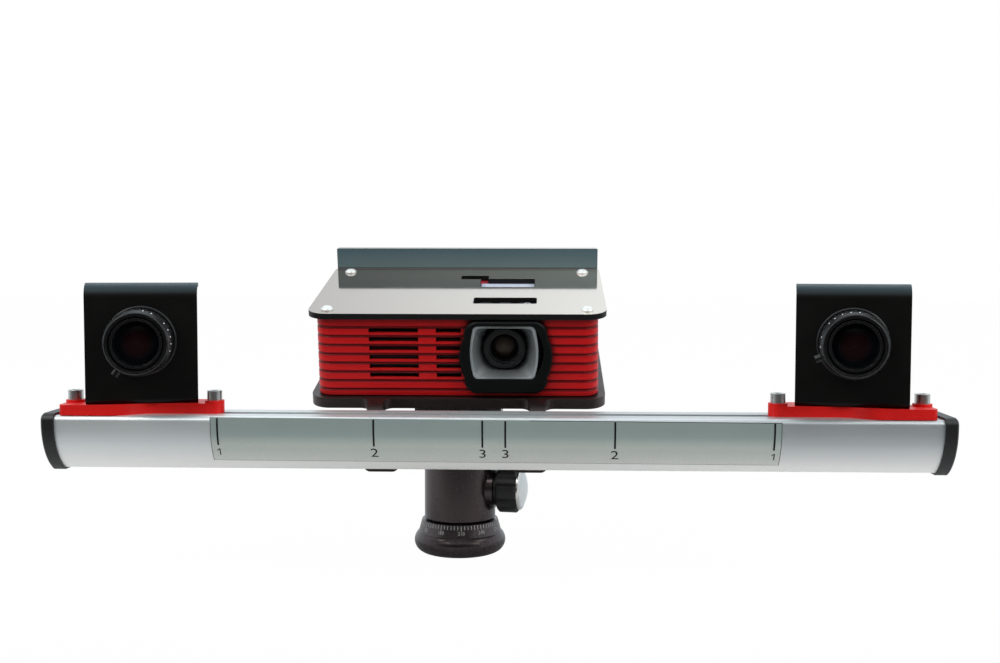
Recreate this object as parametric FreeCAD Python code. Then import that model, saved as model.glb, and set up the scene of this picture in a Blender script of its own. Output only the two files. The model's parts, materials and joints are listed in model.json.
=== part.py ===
import FreeCAD, Part
import math
import os

# Structured-light desktop 3D scanner: a projector clamped between two plates on a ball head,
# with a rail in front of it that carries two toed-in camera modules.
# Millimetres and degrees. +X runs along the rail, -Y is the front, +Z is up.
# The origin is the mouth of the tripod socket, on the pan axis, under the ball head.

V = FreeCAD.Vector
X, Y, Z = V(1, 0, 0), V(0, 1, 0), V(0, 0, 1)

# ---- common fits ----
RUNNING = 0.05            # radial clearance of a shaft in its bore
SEAT_GAP = 0.3            # clearance between pieces that pass close to each other
SLIP = 0.15               # clearance of a piece dropped into a pocket
EPS = 0.5                 # extra length of a cutter past the face it opens
FULL, QUARTER, EIGHTH = 360.0, 90.0, 45.0   # parts of a turn

# ---- ball head ----
BASE_RADIUS = 29.2
BASE_FOOT_RADIUS = 22.0
BASE_HEIGHT = 13.0
SOCKET_RADIUS = 4.0       # 3/8-16 thread, minor radius
SOCKET_DEPTH = 9.5
SCALE_FOOT_RADIUS = 26.6
SCALE_TOP_RADIUS = 24.3
SCALE_HEIGHT = 8.0
SCALE_WALL = 4.5
HUB_RADIUS = 12.0
SPINDLE_RADIUS = 8.0
SPINDLE_LENGTH = 7.0
HOUSING_RADIUS = 22.7
HOUSING_EDGE = 1.2
BALL_RADIUS = 19.0
BALL_CENTRE_Z = 54.25
LIP_HEIGHT = 8.0          # how far the housing reaches above the ball centre
CUP_HOLE_RADIUS = 8.0
CUP_HEIGHT = 16.5
HEAD_YAW = -10.0          # the head is panned so its lock knob points a little forward

KNOB_Z = 41.4
BOSS_RADIUS = 12.5
BOSS_REACH = 23.6
LOCK_SHAFT_RADIUS = 4.0
GRIP_RADIUS = 15.2
GRIP_LENGTH = 15.2
GRIP_LOBES = 6
GRIP_FLUTE_RADIUS = 6.0
GRIP_FLUTE_DEPTH = 1.9
GRIP_NECK_RADIUS = 11.0
GRIP_NECK_LENGTH = 2.2
TRIM_RADIUS = 13.4
TRIM_LENGTH = 2.0
CAP_DISC_RADIUS = 12.1
CAP_DISC_RISE = 3.2
PAN_KNOB_Z = 28.4
PAN_KNOB_RADIUS = 7.0
PAN_KNOB_LENGTH = 12.0
PAN_SHAFT_RADIUS = 2.5
PAN_KNOB_FLUTES = 8
PAN_FLUTE_RADIUS = 1.6

# ---- clamp and quick-release plate, in the tilted frame of the ball ----
TILT = 13.4               # the projector looks down by this angle
STEM_RADIUS = 9.0
CLAMP_FLOOR = 23.0        # clamp underside above the ball centre
CLAMP_DECK = 42.0         # clamp top face, where the plate lies
CLAMP_LENGTH = 50.0
CLAMP_CORNER = 5.0
QUICK_CENTRE_X = -1.0
QUICK_WIDTH = 42.0
QUICK_FOOT_WIDTH = 38.0
QUICK_THICKNESS = 10.0
QUICK_SLAB = 3.8
FOOT_LIP = 2.0
GROOVE_DEPTH = 2.5
JAW_RISE = 8.0
JAW_GAP = 2.3
JAW_THICKNESS = 5.0
FIXED_JAW = 3.7
CLAMP_SCREW_Z = 29.0
CLAMP_SCREW_RADIUS = 3.0
CLAMP_SCREW_DEPTH = 16.0
GUIDE_PIN_RADIUS = 2.0
GUIDE_PIN_PITCH = 32.0
GUIDE_PIN_Z = 34.0
CLAMP_KNOB_RADIUS = 7.8
CLAMP_KNOB_LENGTH = 11.0
CLAMP_KNOB_FLUTES = 10
PLATE_SCREW_RADIUS = 3.1  # 1/4-20 thread, outer radius
PLATE_SCREW_HEAD = 8.0
PLATE_SCREW_HEAD_HEIGHT = 2.4
PLATE_SCREW_GRIP = 4.5

# ---- projector and its two plates, in the tilted frame of the base plate ----
PLATE_CENTRE_X = 1.3      # plate centre to the right of the pan axis
PLATE_FORWARD = 32.9      # plate front edge ahead of the ball's stem axis
PLATE_OVERHANG = 5.0      # plates past the case on each side
PLATE_DEPTH = 118.0
PLATE_CORNER = 12.0
BASE_PLATE = 6.3
TOP_SHEET = 3.5
TOP_SETBACK = 1.0
FLANGE_HEIGHT = 14.2
FLANGE_INSET = 1.0        # flange ends inside the sheet's sides
FLANGE_CORNER = 2.5
SHEET_BEND = 1.0          # inner bend radius of the top sheet
POST_SIDE_INSET = 6.65    # posts inside the case's sides, front and back
POST_FRONT_INSET = 6.0
POST_REAR_INSET = 8.0
POST_RADIUS = 3.0
POST_SCREW_RADIUS = 1.5
POST_SCREW_DEPTH = 8.0
BUTTON_RADIUS = 3.8
BUTTON_RISE = 2.2
HEX_SOCKET = 1.25

ARM_INNER = 44.0
ARM_WIDTH = 9.0
ARM_FILLET = 6.0
ARM_BEND = 6.0            # inner bend radius
ARM_REACH = 18.0          # plate front edge to the rail's back
TAB_INNER = 33.5
TAB_OUTER = 54.5
TAB_CORNER = 4.0
TAB_DROP = 37.0           # tab end below the rail top
RAIL_RISE = 1.25          # rail top above the plate's front bottom edge

CASE_WIDTH = 169.7
CASE_DRAFT = 0.75         # each side is this much wider at the bottom
CASE_EDGE = 0.8
CASE_FRONT = 4.0
CASE_BACK = 112.0
CASE_HEIGHT = 49.45
CASE_CORNER = 9.0
CASE_WALL = 1.6
CASE_ROOF = 2.0
RIB_PITCH = 5.6
GROOVE_COUNT = 8
GROOVE_FOOT = 4.4         # case bottom to the lowest groove
CASE_GROOVE = 1.7         # width of the grooves between the ribs
RIB_RISE = 0.7
VENT_HEIGHT = 2.7
VENT_COUNT = 6
VENT_DROP = 1.95          # vent below the groove above it
VENT_LEFT = (-52.8, -23.1)
VENT_RIGHT = (-12.4, 2.7)
LOUVRE_GAP = 0.4
LOUVRE_DEPTH = 5.0
LOUVRE_BACK = 1.5
LOUVRE_SLAT = 0.9
LOUVRE_PITCH = 5.25
LOUVRE_DROP = 0.45        # first slat below the middle of the first vent
FLOOR_THICKNESS = 2.0

LENS_X = 28.5
LENS_Z = 35.6
HOOD_CENTRE_X = 29.5
HOOD_CENTRE_Z = 32.3
HOOD_HALF_WIDTH = 24.6
HOOD_BULGE = 3.2
HOOD_HALF_HEIGHT = 22.3
HOOD_CORNER = (6.5, 9.5)
HOOD_FRONT = -0.6
HOOD_EDGE = 0.8
HOOD_SEAT = 2.4           # the hood rests on this width of the case
FUNNEL_HALF_WIDTH = 18.9
FUNNEL_BULGE = 1.6
FUNNEL_HALF_HEIGHT = 16.5
FUNNEL_CORNER = (3.4, 3.4)
FUNNEL_CENTRE_Z = 35.4
FUNNEL_WALL = 1.2
FUNNEL_DEPTH = 13.0
FUNNEL_LIP = 1.6
BARREL_RADIUS = 12.9
BARREL_START = 8.0
BARREL_LENGTH = 24.0
BARREL_STEP_RADIUS = 9.7
GLASS_RADIUS = 7.6
GLASS_RECESS = 6.0
GLASS_RISE = 1.5
SECTOR_RADIUS = 23.3
SECTOR_RIM = 3.0
SECTOR_HALF_ANGLE = 40.0
SECTOR_TEETH = 12
SECTOR_START = 14.6
SECTOR_FRONT = 6.6
SECTOR_THICKNESS = 4.0
SECTOR_HUB = 3.0
SECTOR_SLOT_HALF_HEIGHT = 14.0
SECTOR_SLOT_OFFSET = -1.4
ENGINE_WIDTH = 62.0
ENGINE_DEPTH = 62.0
ENGINE_FIN_COUNT = 9
ENGINE_FIN_HEIGHT = 10.0
ENGINE_FIN = 2.0
ENGINE_HEADROOM = 3.0

WINDOW_FRONT = (8.9, 47.9, 24.6, 38.8)
WINDOW_REAR = (11.0, 46.5, 64.8, 87.0)
WINDOW_STEP = (-2.4, 15.9, 85.5, 95.2)
WINDOW_CORNER = 1.5
KEYPAD_MARGIN = 2.5
KEYPAD_THICKNESS = 1.6
KEY_COUNT = 3
KEY_WIDTH = 8.4
KEY_DEPTH = 8.0
KEY_PITCH = 12.0
KEY_RISE = 1.2
KEY_TRAVEL = 0.8
KEY_CORNER = 1.6

PANEL_HALF_WIDTH = 62.0
PANEL_BOTTOM = 14.0
PANEL_TOP = 42.0
PANEL_DEPTH = 12.0
PORT_DEPTH = 9.0
PORT_Z = 24.0
HDMI_SIZE = (15.4, 6.0)
HDMI_X = -20.0
USB_SIZE = (13.6, 6.4)
USB_X = 6.0
POWER_RADIUS = 3.2
POWER_PIN = 1.0
POWER_X = 42.0

# ---- rail ----
RAIL_LENGTH = 500.0
RAIL_CENTRE_X = 25.65
RAIL_DEPTH = 36.0
RAIL_HEIGHT = 32.0
RAIL_FRONT_RADIUS = 33.0  # bowed front, upright above FRONT_ARC_Z
FRONT_ARC_Z = -4.0
RAIL_TOE = 5.0
RAIL_EDGE = 3.0
RAIL_HEEL = 4.0
RAIL_WALL = 2.5
SLOT_WIDTH = 8.2
SLOT_LIP = 3.0
SLOT_INNER = 13.2
SLOT_DEPTH = 9.5
CORE_BACK_WALL = 2.0
BACK_SLOT_Z = -16.0
CAP_THICKNESS = 7.3
CAP_PROUD = 1.3
CAP_PLUG = 10.0
CAP_EDGE = 1.0
RAIL_SCREW_RADIUS = 3.0   # M6
RAIL_SCREW_HEAD = 5.2
RAIL_SCREW_HEAD_HEIGHT = 3.3
NUT_THICKNESS = 4.8
NUT_LENGTH = 12.0

# ---- camera modules ----
CAMERA_END_GAP = 47.4     # rail end to the middle of a carriage
CAMERA_SHIFT = -0.65      # the pair of carriages off the rail's middle
TOE_IN_LEFT = 12.5
TOE_IN_RIGHT = 11.5
CARRIAGE_THICKNESS = 6.0
CARRIAGE_HALF_SPAN = 40.7 # carriage middle to each of its screws
CARRIAGE_NEAR = 5.5       # half width beside the screws
CARRIAGE_FAR = 16.6       # half width under the bracket
CARRIAGE_END = 4.2        # carriage end past the outer screw
CARRIAGE_SWEEP = 24.0     # length of the S-curve between the two widths
CARRIAGE_CORNER = 3.5
SWEEP_CENTRE = 3.0
SCREW_BOSS_RADIUS = 5.5
SCREW_BOSS_HEIGHT = 1.4
SCREW_RADIUS = 2.5        # M5
SCREW_HEAD_RADIUS = 4.25
SCREW_HEAD_HEIGHT = 5.6
SCREW_HEX = 2.3
BRACKET_WIDTH = 62.2
BRACKET_HEIGHT = 69.2
BRACKET_TOP_DEPTH = 14.0
BRACKET_FOOT_DEPTH = 18.0
BRACKET_FOOT_WIDTH = 50.0
BRACKET_SHEET = 2.5
BRACKET_BEND = 5.5        # inner radius of the top bend
BRACKET_FOOT_BEND = 0.5
BRACKET_OFFSET = 9.5      # bracket front ahead of the slot centre
BRACKET_INSET = 1.4       # bracket's middle inwards of the carriage's
FOOT_SCREW_PITCH = 40.0
FOOT_SCREW_RADIUS = 2.0   # M4
LENS_HEIGHT = 36.3        # lens axis above the carriage
CAMERA_SIZE = 29.0
CAMERA_LENGTH = 34.0
CAMERA_EDGE = 1.5
CONNECTOR_RADIUS = 5.0
CONNECTOR_LENGTH = 4.0
THREAD_RADIUS = 12.7      # C-mount
THREAD_LENGTH = 4.0
FLANGE_RADIUS = 19.9
FLANGE_LENGTH = 4.6
CORE_RADIUS = 14.0
CORE_LENGTH = 24.0
CORE_WALL = 1.4
IRIS_RADIUS = 18.3
IRIS_LENGTH = 6.2
INDEX_RADIUS = 17.4
INDEX_LENGTH = 2.6
FOCUS_RADIUS = 18.8
FOCUS_LENGTH = 6.6
RIM_RADIUS = 17.2
RIM_LENGTH = 8.0
RING_FLUTES = 30
FLUTE_RADIUS = 0.9
CAMERA_GLASS_RADIUS = 11.6
CAMERA_GLASS_EDGE = 2.0    # thickness of the glass at its rim
CAMERA_GLASS_RISE = 2.0
CAMERA_GLASS_RECESS = 7.0  # mouth of the lens to the rim of the glass
LOCK_SCREW_RADIUS = 0.9
LOCK_HEAD_RADIUS = 2.2
LOCK_HEAD_LENGTH = 3.2
LOCK_ANGLE_LEFT = -55.0
LOCK_ANGLE_RIGHT = 202.0


# ---- frames ----
HEAD_FRAME = FreeCAD.Placement(V(0, 0, 0), FreeCAD.Rotation(Z, HEAD_YAW))
BALL_FRAME = FreeCAD.Placement(V(0, 0, BALL_CENTRE_Z), FreeCAD.Rotation(X, TILT))
STACK_TOP = CLAMP_DECK + QUICK_THICKNESS
PLATE_ORIGIN = BALL_FRAME.multVec(V(PLATE_CENTRE_X, -PLATE_FORWARD, STACK_TOP))
PLATE_FRAME = FreeCAD.Placement(PLATE_ORIGIN, FreeCAD.Rotation(X, TILT))
RAIL_BACK = PLATE_ORIGIN.y - ARM_REACH
RAIL_TOP = PLATE_ORIGIN.z + RAIL_RISE
RAIL_FRAME = FreeCAD.Placement(V(RAIL_CENTRE_X, RAIL_BACK - RAIL_DEPTH, RAIL_TOP), FreeCAD.Rotation())
SLOT_Y = RAIL_DEPTH / 2
CASE_BOTTOM = BASE_PLATE
CASE_TOP = CASE_BOTTOM + CASE_HEIGHT
PLATE_WIDTH = CASE_WIDTH + 2 * PLATE_OVERHANG
CAMERA_HALF_SPAN = RAIL_LENGTH / 2 - CAMERA_END_GAP


# ---- helpers ----
def placed(shape, frame):
    """The shape moved from a local frame to the object's frame."""
    moved = shape.copy()
    moved.Placement = frame.multiply(moved.Placement)
    return moved


def box(x0, x1, y0, y1, z0, z1):
    return Part.makeBox(x1 - x0, y1 - y0, z1 - z0, V(x0, y0, z0))


def rod(radius, start, axis, length):
    return Part.makeCylinder(radius, length, start, axis)


def tube(outer, inner, start, axis, length):
    overshoot = axis * EPS
    return rod(outer, start, axis, length).cut(rod(inner, start - overshoot, axis, length + 2 * EPS))


def outline(lift, start, moves):
    """A closed face. Each move is (a, b) for a line or (a, b, c, d) for an arc through (a, b) to (c, d)."""
    edges = []
    here = start
    for move in list(moves) + [start]:
        there = move[-2:]
        if math.dist(here, there) < 1e-7:
            continue
        if len(move) == 2:
            edges.append(Part.makeLine(lift(*here), lift(*there)))
        else:
            edges.append(Part.Arc(lift(*here), lift(*move[:2]), lift(*there)).toShape())
        here = there
    return Part.Face(Part.Wire(edges))


def in_xy(z=0.0):
    return lambda a, b: V(a, b, z)


def in_xz(y=0.0):
    return lambda a, b: V(a, y, b)


def in_yz(x=0.0):
    return lambda a, b: V(x, a, b)


def turned(start, moves, centre=V(0, 0, 0)):
    """A solid of revolution about the vertical axis through centre, from (radius, height) points."""
    face = outline(in_xz(), start, moves)
    return face.revolve(V(0, 0, 0), Z, 360).translated(centre)


def dome(radius, base, rise):
    """Arc move of a spherical crown from (radius, base) to its pole on the axis."""
    sphere = (radius ** 2 + rise ** 2) / (2 * rise)
    centre = (0, base + rise - sphere)
    edge = math.degrees(math.atan2(base - centre[1], radius))
    return arc_point(centre, sphere, (edge + 90) / 2) + (0, base + rise)


def on_axis(shape, start, axis):
    """A solid made along +Z moved so that +Z points along axis from start."""
    return placed(shape, FreeCAD.Placement(start, FreeCAD.Rotation(Z, axis)))


def arc_point(centre, radius, angle):
    turn = math.radians(angle)
    return (centre[0] + radius * math.cos(turn), centre[1] + radius * math.sin(turn))


def rounded_rect(x0, x1, y0, y1, radius):
    """Start point and moves of a rounded rectangle, for outline()."""
    start = (x0 + radius, y0)
    moves = [(x1 - radius, y0)]
    corners = [(x1 - radius, y0 + radius, -90), (x1 - radius, y1 - radius, 0),
               (x0 + radius, y1 - radius, 90), (x0 + radius, y0 + radius, 180)]
    for cx, cy, angle in corners:
        first = arc_point((cx, cy), radius, angle)
        middle = arc_point((cx, cy), radius, angle + 45)
        last = arc_point((cx, cy), radius, angle + 90)
        moves.append(first)
        moves.append(middle + last)
    return start, moves


def rounded_block(x0, x1, y0, y1, z0, z1, radius):
    start, moves = rounded_rect(x0, x1, y0, y1, radius)
    return outline(in_xy(z0), start, moves).extrude(V(0, 0, z1 - z0))


def bent_strip(lift, points, thickness, bends, side):
    """Cross-section of a bent sheet. points follow the outside of the bends; side turns inwards."""
    unit = []
    for (a0, b0), (a1, b1) in zip(points, points[1:]):
        length = math.dist((a0, b0), (a1, b1))
        unit.append(((a1 - a0) / length, (b1 - b0) / length))
    normal = [(-side * b, side * a) for a, b in unit]
    outer = [points[0]]
    inner = [(points[0][0] + thickness * normal[0][0], points[0][1] + thickness * normal[0][1])]
    for corner, radius, before, after, n0, n1 in zip(points[1:-1], bends, unit, unit[1:], normal, normal[1:]):
        turn = math.acos(before[0] * after[0] + before[1] * after[1])
        inward = ((n0[0] + n1[0]), (n0[1] + n1[1]))
        size = math.hypot(*inward)
        inward = (inward[0] / size, inward[1] / size)
        reach = (radius + thickness) / math.cos(turn / 2)
        centre = (corner[0] + inward[0] * reach, corner[1] + inward[1] * reach)
        for line, bend in ((outer, radius + thickness), (inner, radius)):
            line.append((centre[0] - n0[0] * bend, centre[1] - n0[1] * bend))
            middle = (centre[0] - inward[0] * bend, centre[1] - inward[1] * bend)
            line.append(middle + (centre[0] - n1[0] * bend, centre[1] - n1[1] * bend))
    outer.append(points[-1])
    inner.append((points[-1][0] + thickness * normal[-1][0], points[-1][1] + thickness * normal[-1][1]))
    moves = outer[1:] + [inner[-1]]
    for place in range(len(inner) - 1, 0, -1):
        goal = inner[place - 1][-2:]
        if len(inner[place]) == 4:
            moves.append(inner[place][:2] + goal)
        else:
            moves.append(goal)
    return outline(lift, points[0], moves)


def mirrored(shape):
    return shape.mirror(V(0, 0, 0), X)


def fluted(body, count, radius, distance, start, axis, length):
    """Cuts round grooves along a knob or ring, evenly spaced about the +Z axis."""
    cutters = []
    for index in range(count):
        angle = 2 * math.pi * index / count
        offset = V(distance * math.cos(angle), distance * math.sin(angle), 0)
        cutters.append(rod(radius, start + offset, axis, length))
    return body.cut(cutters)


def hex_socket(radius, z_top, depth):
    """A hexagonal key socket that opens upwards at z_top."""
    points = [arc_point((0, 0), radius, 60 * corner) for corner in range(6)]
    return outline(in_xy(z_top - depth), points[0], points[1:]).extrude(V(0, 0, depth + EPS))


# ---- ball head ----
def base_ring():
    bulge = (BASE_RADIUS, BASE_HEIGHT / 2)
    solid = turned((0, SOCKET_DEPTH), [(SOCKET_RADIUS, SOCKET_DEPTH), (SOCKET_RADIUS, 0), (BASE_FOOT_RADIUS, 0),
                                       bulge + (SCALE_FOOT_RADIUS + SEAT_GAP, BASE_HEIGHT), (0, BASE_HEIGHT)])
    return solid


def scale_ring():
    top = BASE_HEIGHT + SCALE_HEIGHT
    inner = SCALE_TOP_RADIUS - SCALE_WALL
    return turned((inner, BASE_HEIGHT), [(SCALE_FOOT_RADIUS, BASE_HEIGHT), (SCALE_TOP_RADIUS, top), (inner, top)])


def pan_spindle():
    shoulder = BASE_HEIGHT + SCALE_HEIGHT
    end = shoulder + SPINDLE_LENGTH
    return turned((0, BASE_HEIGHT), [(HUB_RADIUS, BASE_HEIGHT), (HUB_RADIUS, shoulder),
                                     (SPINDLE_RADIUS, shoulder), (SPINDLE_RADIUS, end), (0, end)])


HOUSING_BOTTOM = BASE_HEIGHT + SCALE_HEIGHT + SEAT_GAP
HOUSING_TOP = BALL_CENTRE_Z + LIP_HEIGHT
CUP_FLOOR = BALL_CENTRE_Z - BALL_RADIUS - 3.2
BALL_SEAT = BALL_RADIUS + RUNNING


def sphere_radius_at(height):
    """Radius of the ball's seat at a height above the ball centre."""
    return math.sqrt(BALL_SEAT ** 2 - height ** 2)


def ball_housing():
    lip = sphere_radius_at(LIP_HEIGHT)
    outer = turned((0, HOUSING_BOTTOM), [
        (HOUSING_RADIUS - HOUSING_EDGE, HOUSING_BOTTOM),
        (HOUSING_RADIUS, HOUSING_BOTTOM + HOUSING_EDGE),
        (HOUSING_RADIUS, HOUSING_TOP - HOUSING_EDGE),
        (HOUSING_RADIUS - HOUSING_EDGE, HOUSING_TOP),
        (0, HOUSING_TOP)])
    boss = rod(BOSS_RADIUS, V(SPINDLE_RADIUS, 0, KNOB_Z), X, BOSS_REACH - SPINDLE_RADIUS)
    middle = arc_point((0, BALL_CENTRE_Z), BALL_SEAT, math.degrees(math.asin(LIP_HEIGHT / BALL_SEAT)) / 2)
    hollow = turned((0, CUP_FLOOR), [
        (BALL_SEAT, CUP_FLOOR), (BALL_SEAT, BALL_CENTRE_Z), middle + (lip, HOUSING_TOP),
        (lip, HOUSING_TOP + EPS), (0, HOUSING_TOP + EPS)])
    spindle_bore = rod(SPINDLE_RADIUS + RUNNING, V(0, 0, HOUSING_BOTTOM - EPS), Z, SPINDLE_LENGTH + 2 * EPS)
    lock_bore = rod(LOCK_SHAFT_RADIUS + RUNNING, V(SPINDLE_RADIUS, 0, KNOB_Z), X, BOSS_REACH)
    pan_bore = rod(PAN_SHAFT_RADIUS + RUNNING, V(0, SPINDLE_RADIUS, PAN_KNOB_Z), Y, HOUSING_RADIUS)
    return outer.fuse(boss).cut([hollow, spindle_bore, lock_bore, pan_bore])


def ball_seat():
    outer = BALL_SEAT - SLIP
    top = CUP_FLOOR + CUP_HEIGHT
    rim = sphere_radius_at(BALL_CENTRE_Z - top)
    hole_z = BALL_CENTRE_Z - sphere_radius_at(CUP_HOLE_RADIUS)
    start_angle = math.degrees(math.atan2(top - BALL_CENTRE_Z, rim))
    end_angle = math.degrees(math.atan2(hole_z - BALL_CENTRE_Z, CUP_HOLE_RADIUS))
    middle = arc_point((0, BALL_CENTRE_Z), BALL_SEAT, (start_angle + end_angle) / 2)
    cup = turned((CUP_HOLE_RADIUS, CUP_FLOOR), [
        (outer, CUP_FLOOR), (outer, top), (rim, top), middle + (CUP_HOLE_RADIUS, hole_z)])
    return cup


def lock_knob_grip():
    """Lobed grip and its shaft, made along +Z and laid on the knob's axis."""
    neck_end = GRIP_NECK_LENGTH
    edge = HOUSING_EDGE
    grip = turned((0, 0), [
        (GRIP_NECK_RADIUS, 0), (GRIP_NECK_RADIUS, neck_end), (GRIP_RADIUS - edge, neck_end),
        (GRIP_RADIUS, neck_end + edge), (GRIP_RADIUS, GRIP_LENGTH - edge), (GRIP_RADIUS - edge, GRIP_LENGTH),
        (0, GRIP_LENGTH)])
    flute_centre = GRIP_RADIUS + GRIP_FLUTE_RADIUS - GRIP_FLUTE_DEPTH
    grip = fluted(grip, GRIP_LOBES, GRIP_FLUTE_RADIUS, flute_centre, V(0, 0, neck_end), Z, GRIP_LENGTH)
    shaft_length = BOSS_REACH + SEAT_GAP - BALL_SEAT - SLIP
    shaft = rod(LOCK_SHAFT_RADIUS, V(0, 0, -shaft_length), Z, shaft_length)
    return grip.fuse(shaft)


def lock_knob_trim():
    start = GRIP_LENGTH
    return turned((CAP_DISC_RADIUS, start), [
        (TRIM_RADIUS, start), (TRIM_RADIUS, start + TRIM_LENGTH / 2),
        (CAP_DISC_RADIUS + SLIP, start + TRIM_LENGTH), (CAP_DISC_RADIUS, start + TRIM_LENGTH)])


def lock_knob_cap():
    start = GRIP_LENGTH
    edge = start + TRIM_LENGTH - SLIP
    radius = CAP_DISC_RADIUS - SLIP
    return turned((0, start), [(radius, start), (radius, edge), dome(radius, edge, CAP_DISC_RISE)])


def pan_lock_knob():
    """Small fluted knob behind the head; its shaft stops short of the spindle."""
    knob = rod(PAN_KNOB_RADIUS, V(0, 0, 0), Z, PAN_KNOB_LENGTH)
    knob = knob.makeChamfer(HOUSING_EDGE / 2, [edge for edge in knob.Edges if edge.Curve.TypeId == "Part::GeomCircle"])
    knob = fluted(knob, PAN_KNOB_FLUTES, PAN_FLUTE_RADIUS, PAN_KNOB_RADIUS + PAN_FLUTE_RADIUS / 2,
                  V(0, 0, -EPS), Z, PAN_KNOB_LENGTH + 2 * EPS)
    shaft_length = HOUSING_RADIUS + SEAT_GAP - SPINDLE_RADIUS - 2 * EPS
    return knob.fuse(rod(PAN_SHAFT_RADIUS, V(0, 0, -shaft_length), Z, shaft_length))


def ball():
    return Part.makeSphere(BALL_RADIUS, V(0, 0, 0))


# ---- clamp, in the ball's tilted frame ----
QUICK_LEFT = QUICK_CENTRE_X - QUICK_WIDTH / 2
QUICK_RIGHT = QUICK_CENTRE_X + QUICK_WIDTH / 2
CLAMP_LEFT = QUICK_LEFT - SEAT_GAP - FIXED_JAW
CLAMP_RIGHT = QUICK_RIGHT
JAW_INNER = CLAMP_RIGHT + JAW_GAP
JAW_OUTER = JAW_INNER + JAW_THICKNESS
CLAMP_HALF = CLAMP_LENGTH / 2
FOOT_TOP = CLAMP_DECK + FOOT_LIP
GROOVE_TOP = FOOT_TOP + GROOVE_DEPTH
SLAB_BOTTOM = STACK_TOP - QUICK_SLAB
LIP_TOP = SLAB_BOTTOM - SEAT_GAP


def ball_stem():
    """Neck of the ball, seated on it with a spherical face."""
    neck = rod(STEM_RADIUS, V(0, 0, BALL_RADIUS * 0.8), Z, CLAMP_FLOOR - BALL_RADIUS * 0.8)
    return neck.cut(Part.makeSphere(BALL_SEAT, V(0, 0, 0)))


def jaw_lip(foot_edge, side):
    """Points of a clamping lip over the plate's foot; side is +1 for the jaw on the right."""
    edge = foot_edge + side * SEAT_GAP
    tip = edge - side * GROOVE_DEPTH
    return [(edge, FOOT_TOP + SEAT_GAP / 2), (tip, GROOVE_TOP + SEAT_GAP / 2), (tip, LIP_TOP)]


def clamp_base():
    body = rounded_block(CLAMP_LEFT, CLAMP_RIGHT, -CLAMP_HALF, CLAMP_HALF, CLAMP_FLOOR, CLAMP_DECK, CLAMP_CORNER)
    foot_edge = QUICK_CENTRE_X - QUICK_FOOT_WIDTH / 2
    jaw_inner = QUICK_LEFT - SEAT_GAP
    jaw_top = CLAMP_DECK + JAW_RISE
    edge = foot_edge - SEAT_GAP
    moves = [(edge, CLAMP_DECK)] + jaw_lip(foot_edge, -1)
    moves += [(jaw_inner, LIP_TOP), (jaw_inner, jaw_top), (CLAMP_LEFT, jaw_top)]
    half = CLAMP_HALF - CLAMP_CORNER
    jaw = outline(in_xz(-half), (CLAMP_LEFT, CLAMP_DECK), moves).extrude(V(0, 2 * half, 0))
    screw_hole = rod(CLAMP_SCREW_RADIUS + RUNNING, V(CLAMP_RIGHT - CLAMP_SCREW_DEPTH - EPS, 0, CLAMP_SCREW_Z), X,
                     CLAMP_SCREW_DEPTH + 2 * EPS)
    pins = []
    for y in (-GUIDE_PIN_PITCH / 2, GUIDE_PIN_PITCH / 2):
        pins.append(rod(GUIDE_PIN_RADIUS, V(CLAMP_RIGHT, y, GUIDE_PIN_Z), X, JAW_GAP + JAW_THICKNESS - EPS))
    return body.fuse([jaw] + pins).cut(screw_hole)


def clamp_jaw():
    foot_edge = QUICK_CENTRE_X + QUICK_FOOT_WIDTH / 2
    edge = foot_edge + SEAT_GAP
    deck = CLAMP_DECK + SEAT_GAP
    top = CLAMP_DECK + JAW_RISE
    moves = [(edge, deck)] + jaw_lip(foot_edge, 1)
    moves += [(JAW_INNER, LIP_TOP), (JAW_INNER, top), (JAW_OUTER, top), (JAW_OUTER, CLAMP_FLOOR), (JAW_INNER, CLAMP_FLOOR)]
    half = CLAMP_HALF - CLAMP_CORNER
    jaw = outline(in_xz(-half), (JAW_INNER, deck), moves).extrude(V(0, 2 * half, 0))
    holes = [rod(CLAMP_SCREW_RADIUS + RUNNING, V(CLAMP_RIGHT, 0, CLAMP_SCREW_Z), X, CLAMP_KNOB_LENGTH)]
    for y in (-GUIDE_PIN_PITCH / 2, GUIDE_PIN_PITCH / 2):
        holes.append(rod(GUIDE_PIN_RADIUS + RUNNING, V(CLAMP_RIGHT, y, GUIDE_PIN_Z), X, CLAMP_KNOB_LENGTH))
    return jaw.cut(holes)


def clamp_knob():
    knob = rod(CLAMP_KNOB_RADIUS, V(0, 0, 0), Z, CLAMP_KNOB_LENGTH)
    knob = knob.makeChamfer(HOUSING_EDGE / 2, [edge for edge in knob.Edges if edge.Curve.TypeId == "Part::GeomCircle"])
    knob = fluted(knob, CLAMP_KNOB_FLUTES, PAN_FLUTE_RADIUS, CLAMP_KNOB_RADIUS + PAN_FLUTE_RADIUS / 2,
                  V(0, 0, -EPS), Z, CLAMP_KNOB_LENGTH + 2 * EPS)
    reach = JAW_OUTER + SEAT_GAP - CLAMP_RIGHT + CLAMP_SCREW_DEPTH
    knob = knob.fuse(rod(CLAMP_SCREW_RADIUS, V(0, 0, -reach), Z, reach))
    return on_axis(knob, V(JAW_OUTER + SEAT_GAP, 0, CLAMP_SCREW_Z), X)


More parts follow.
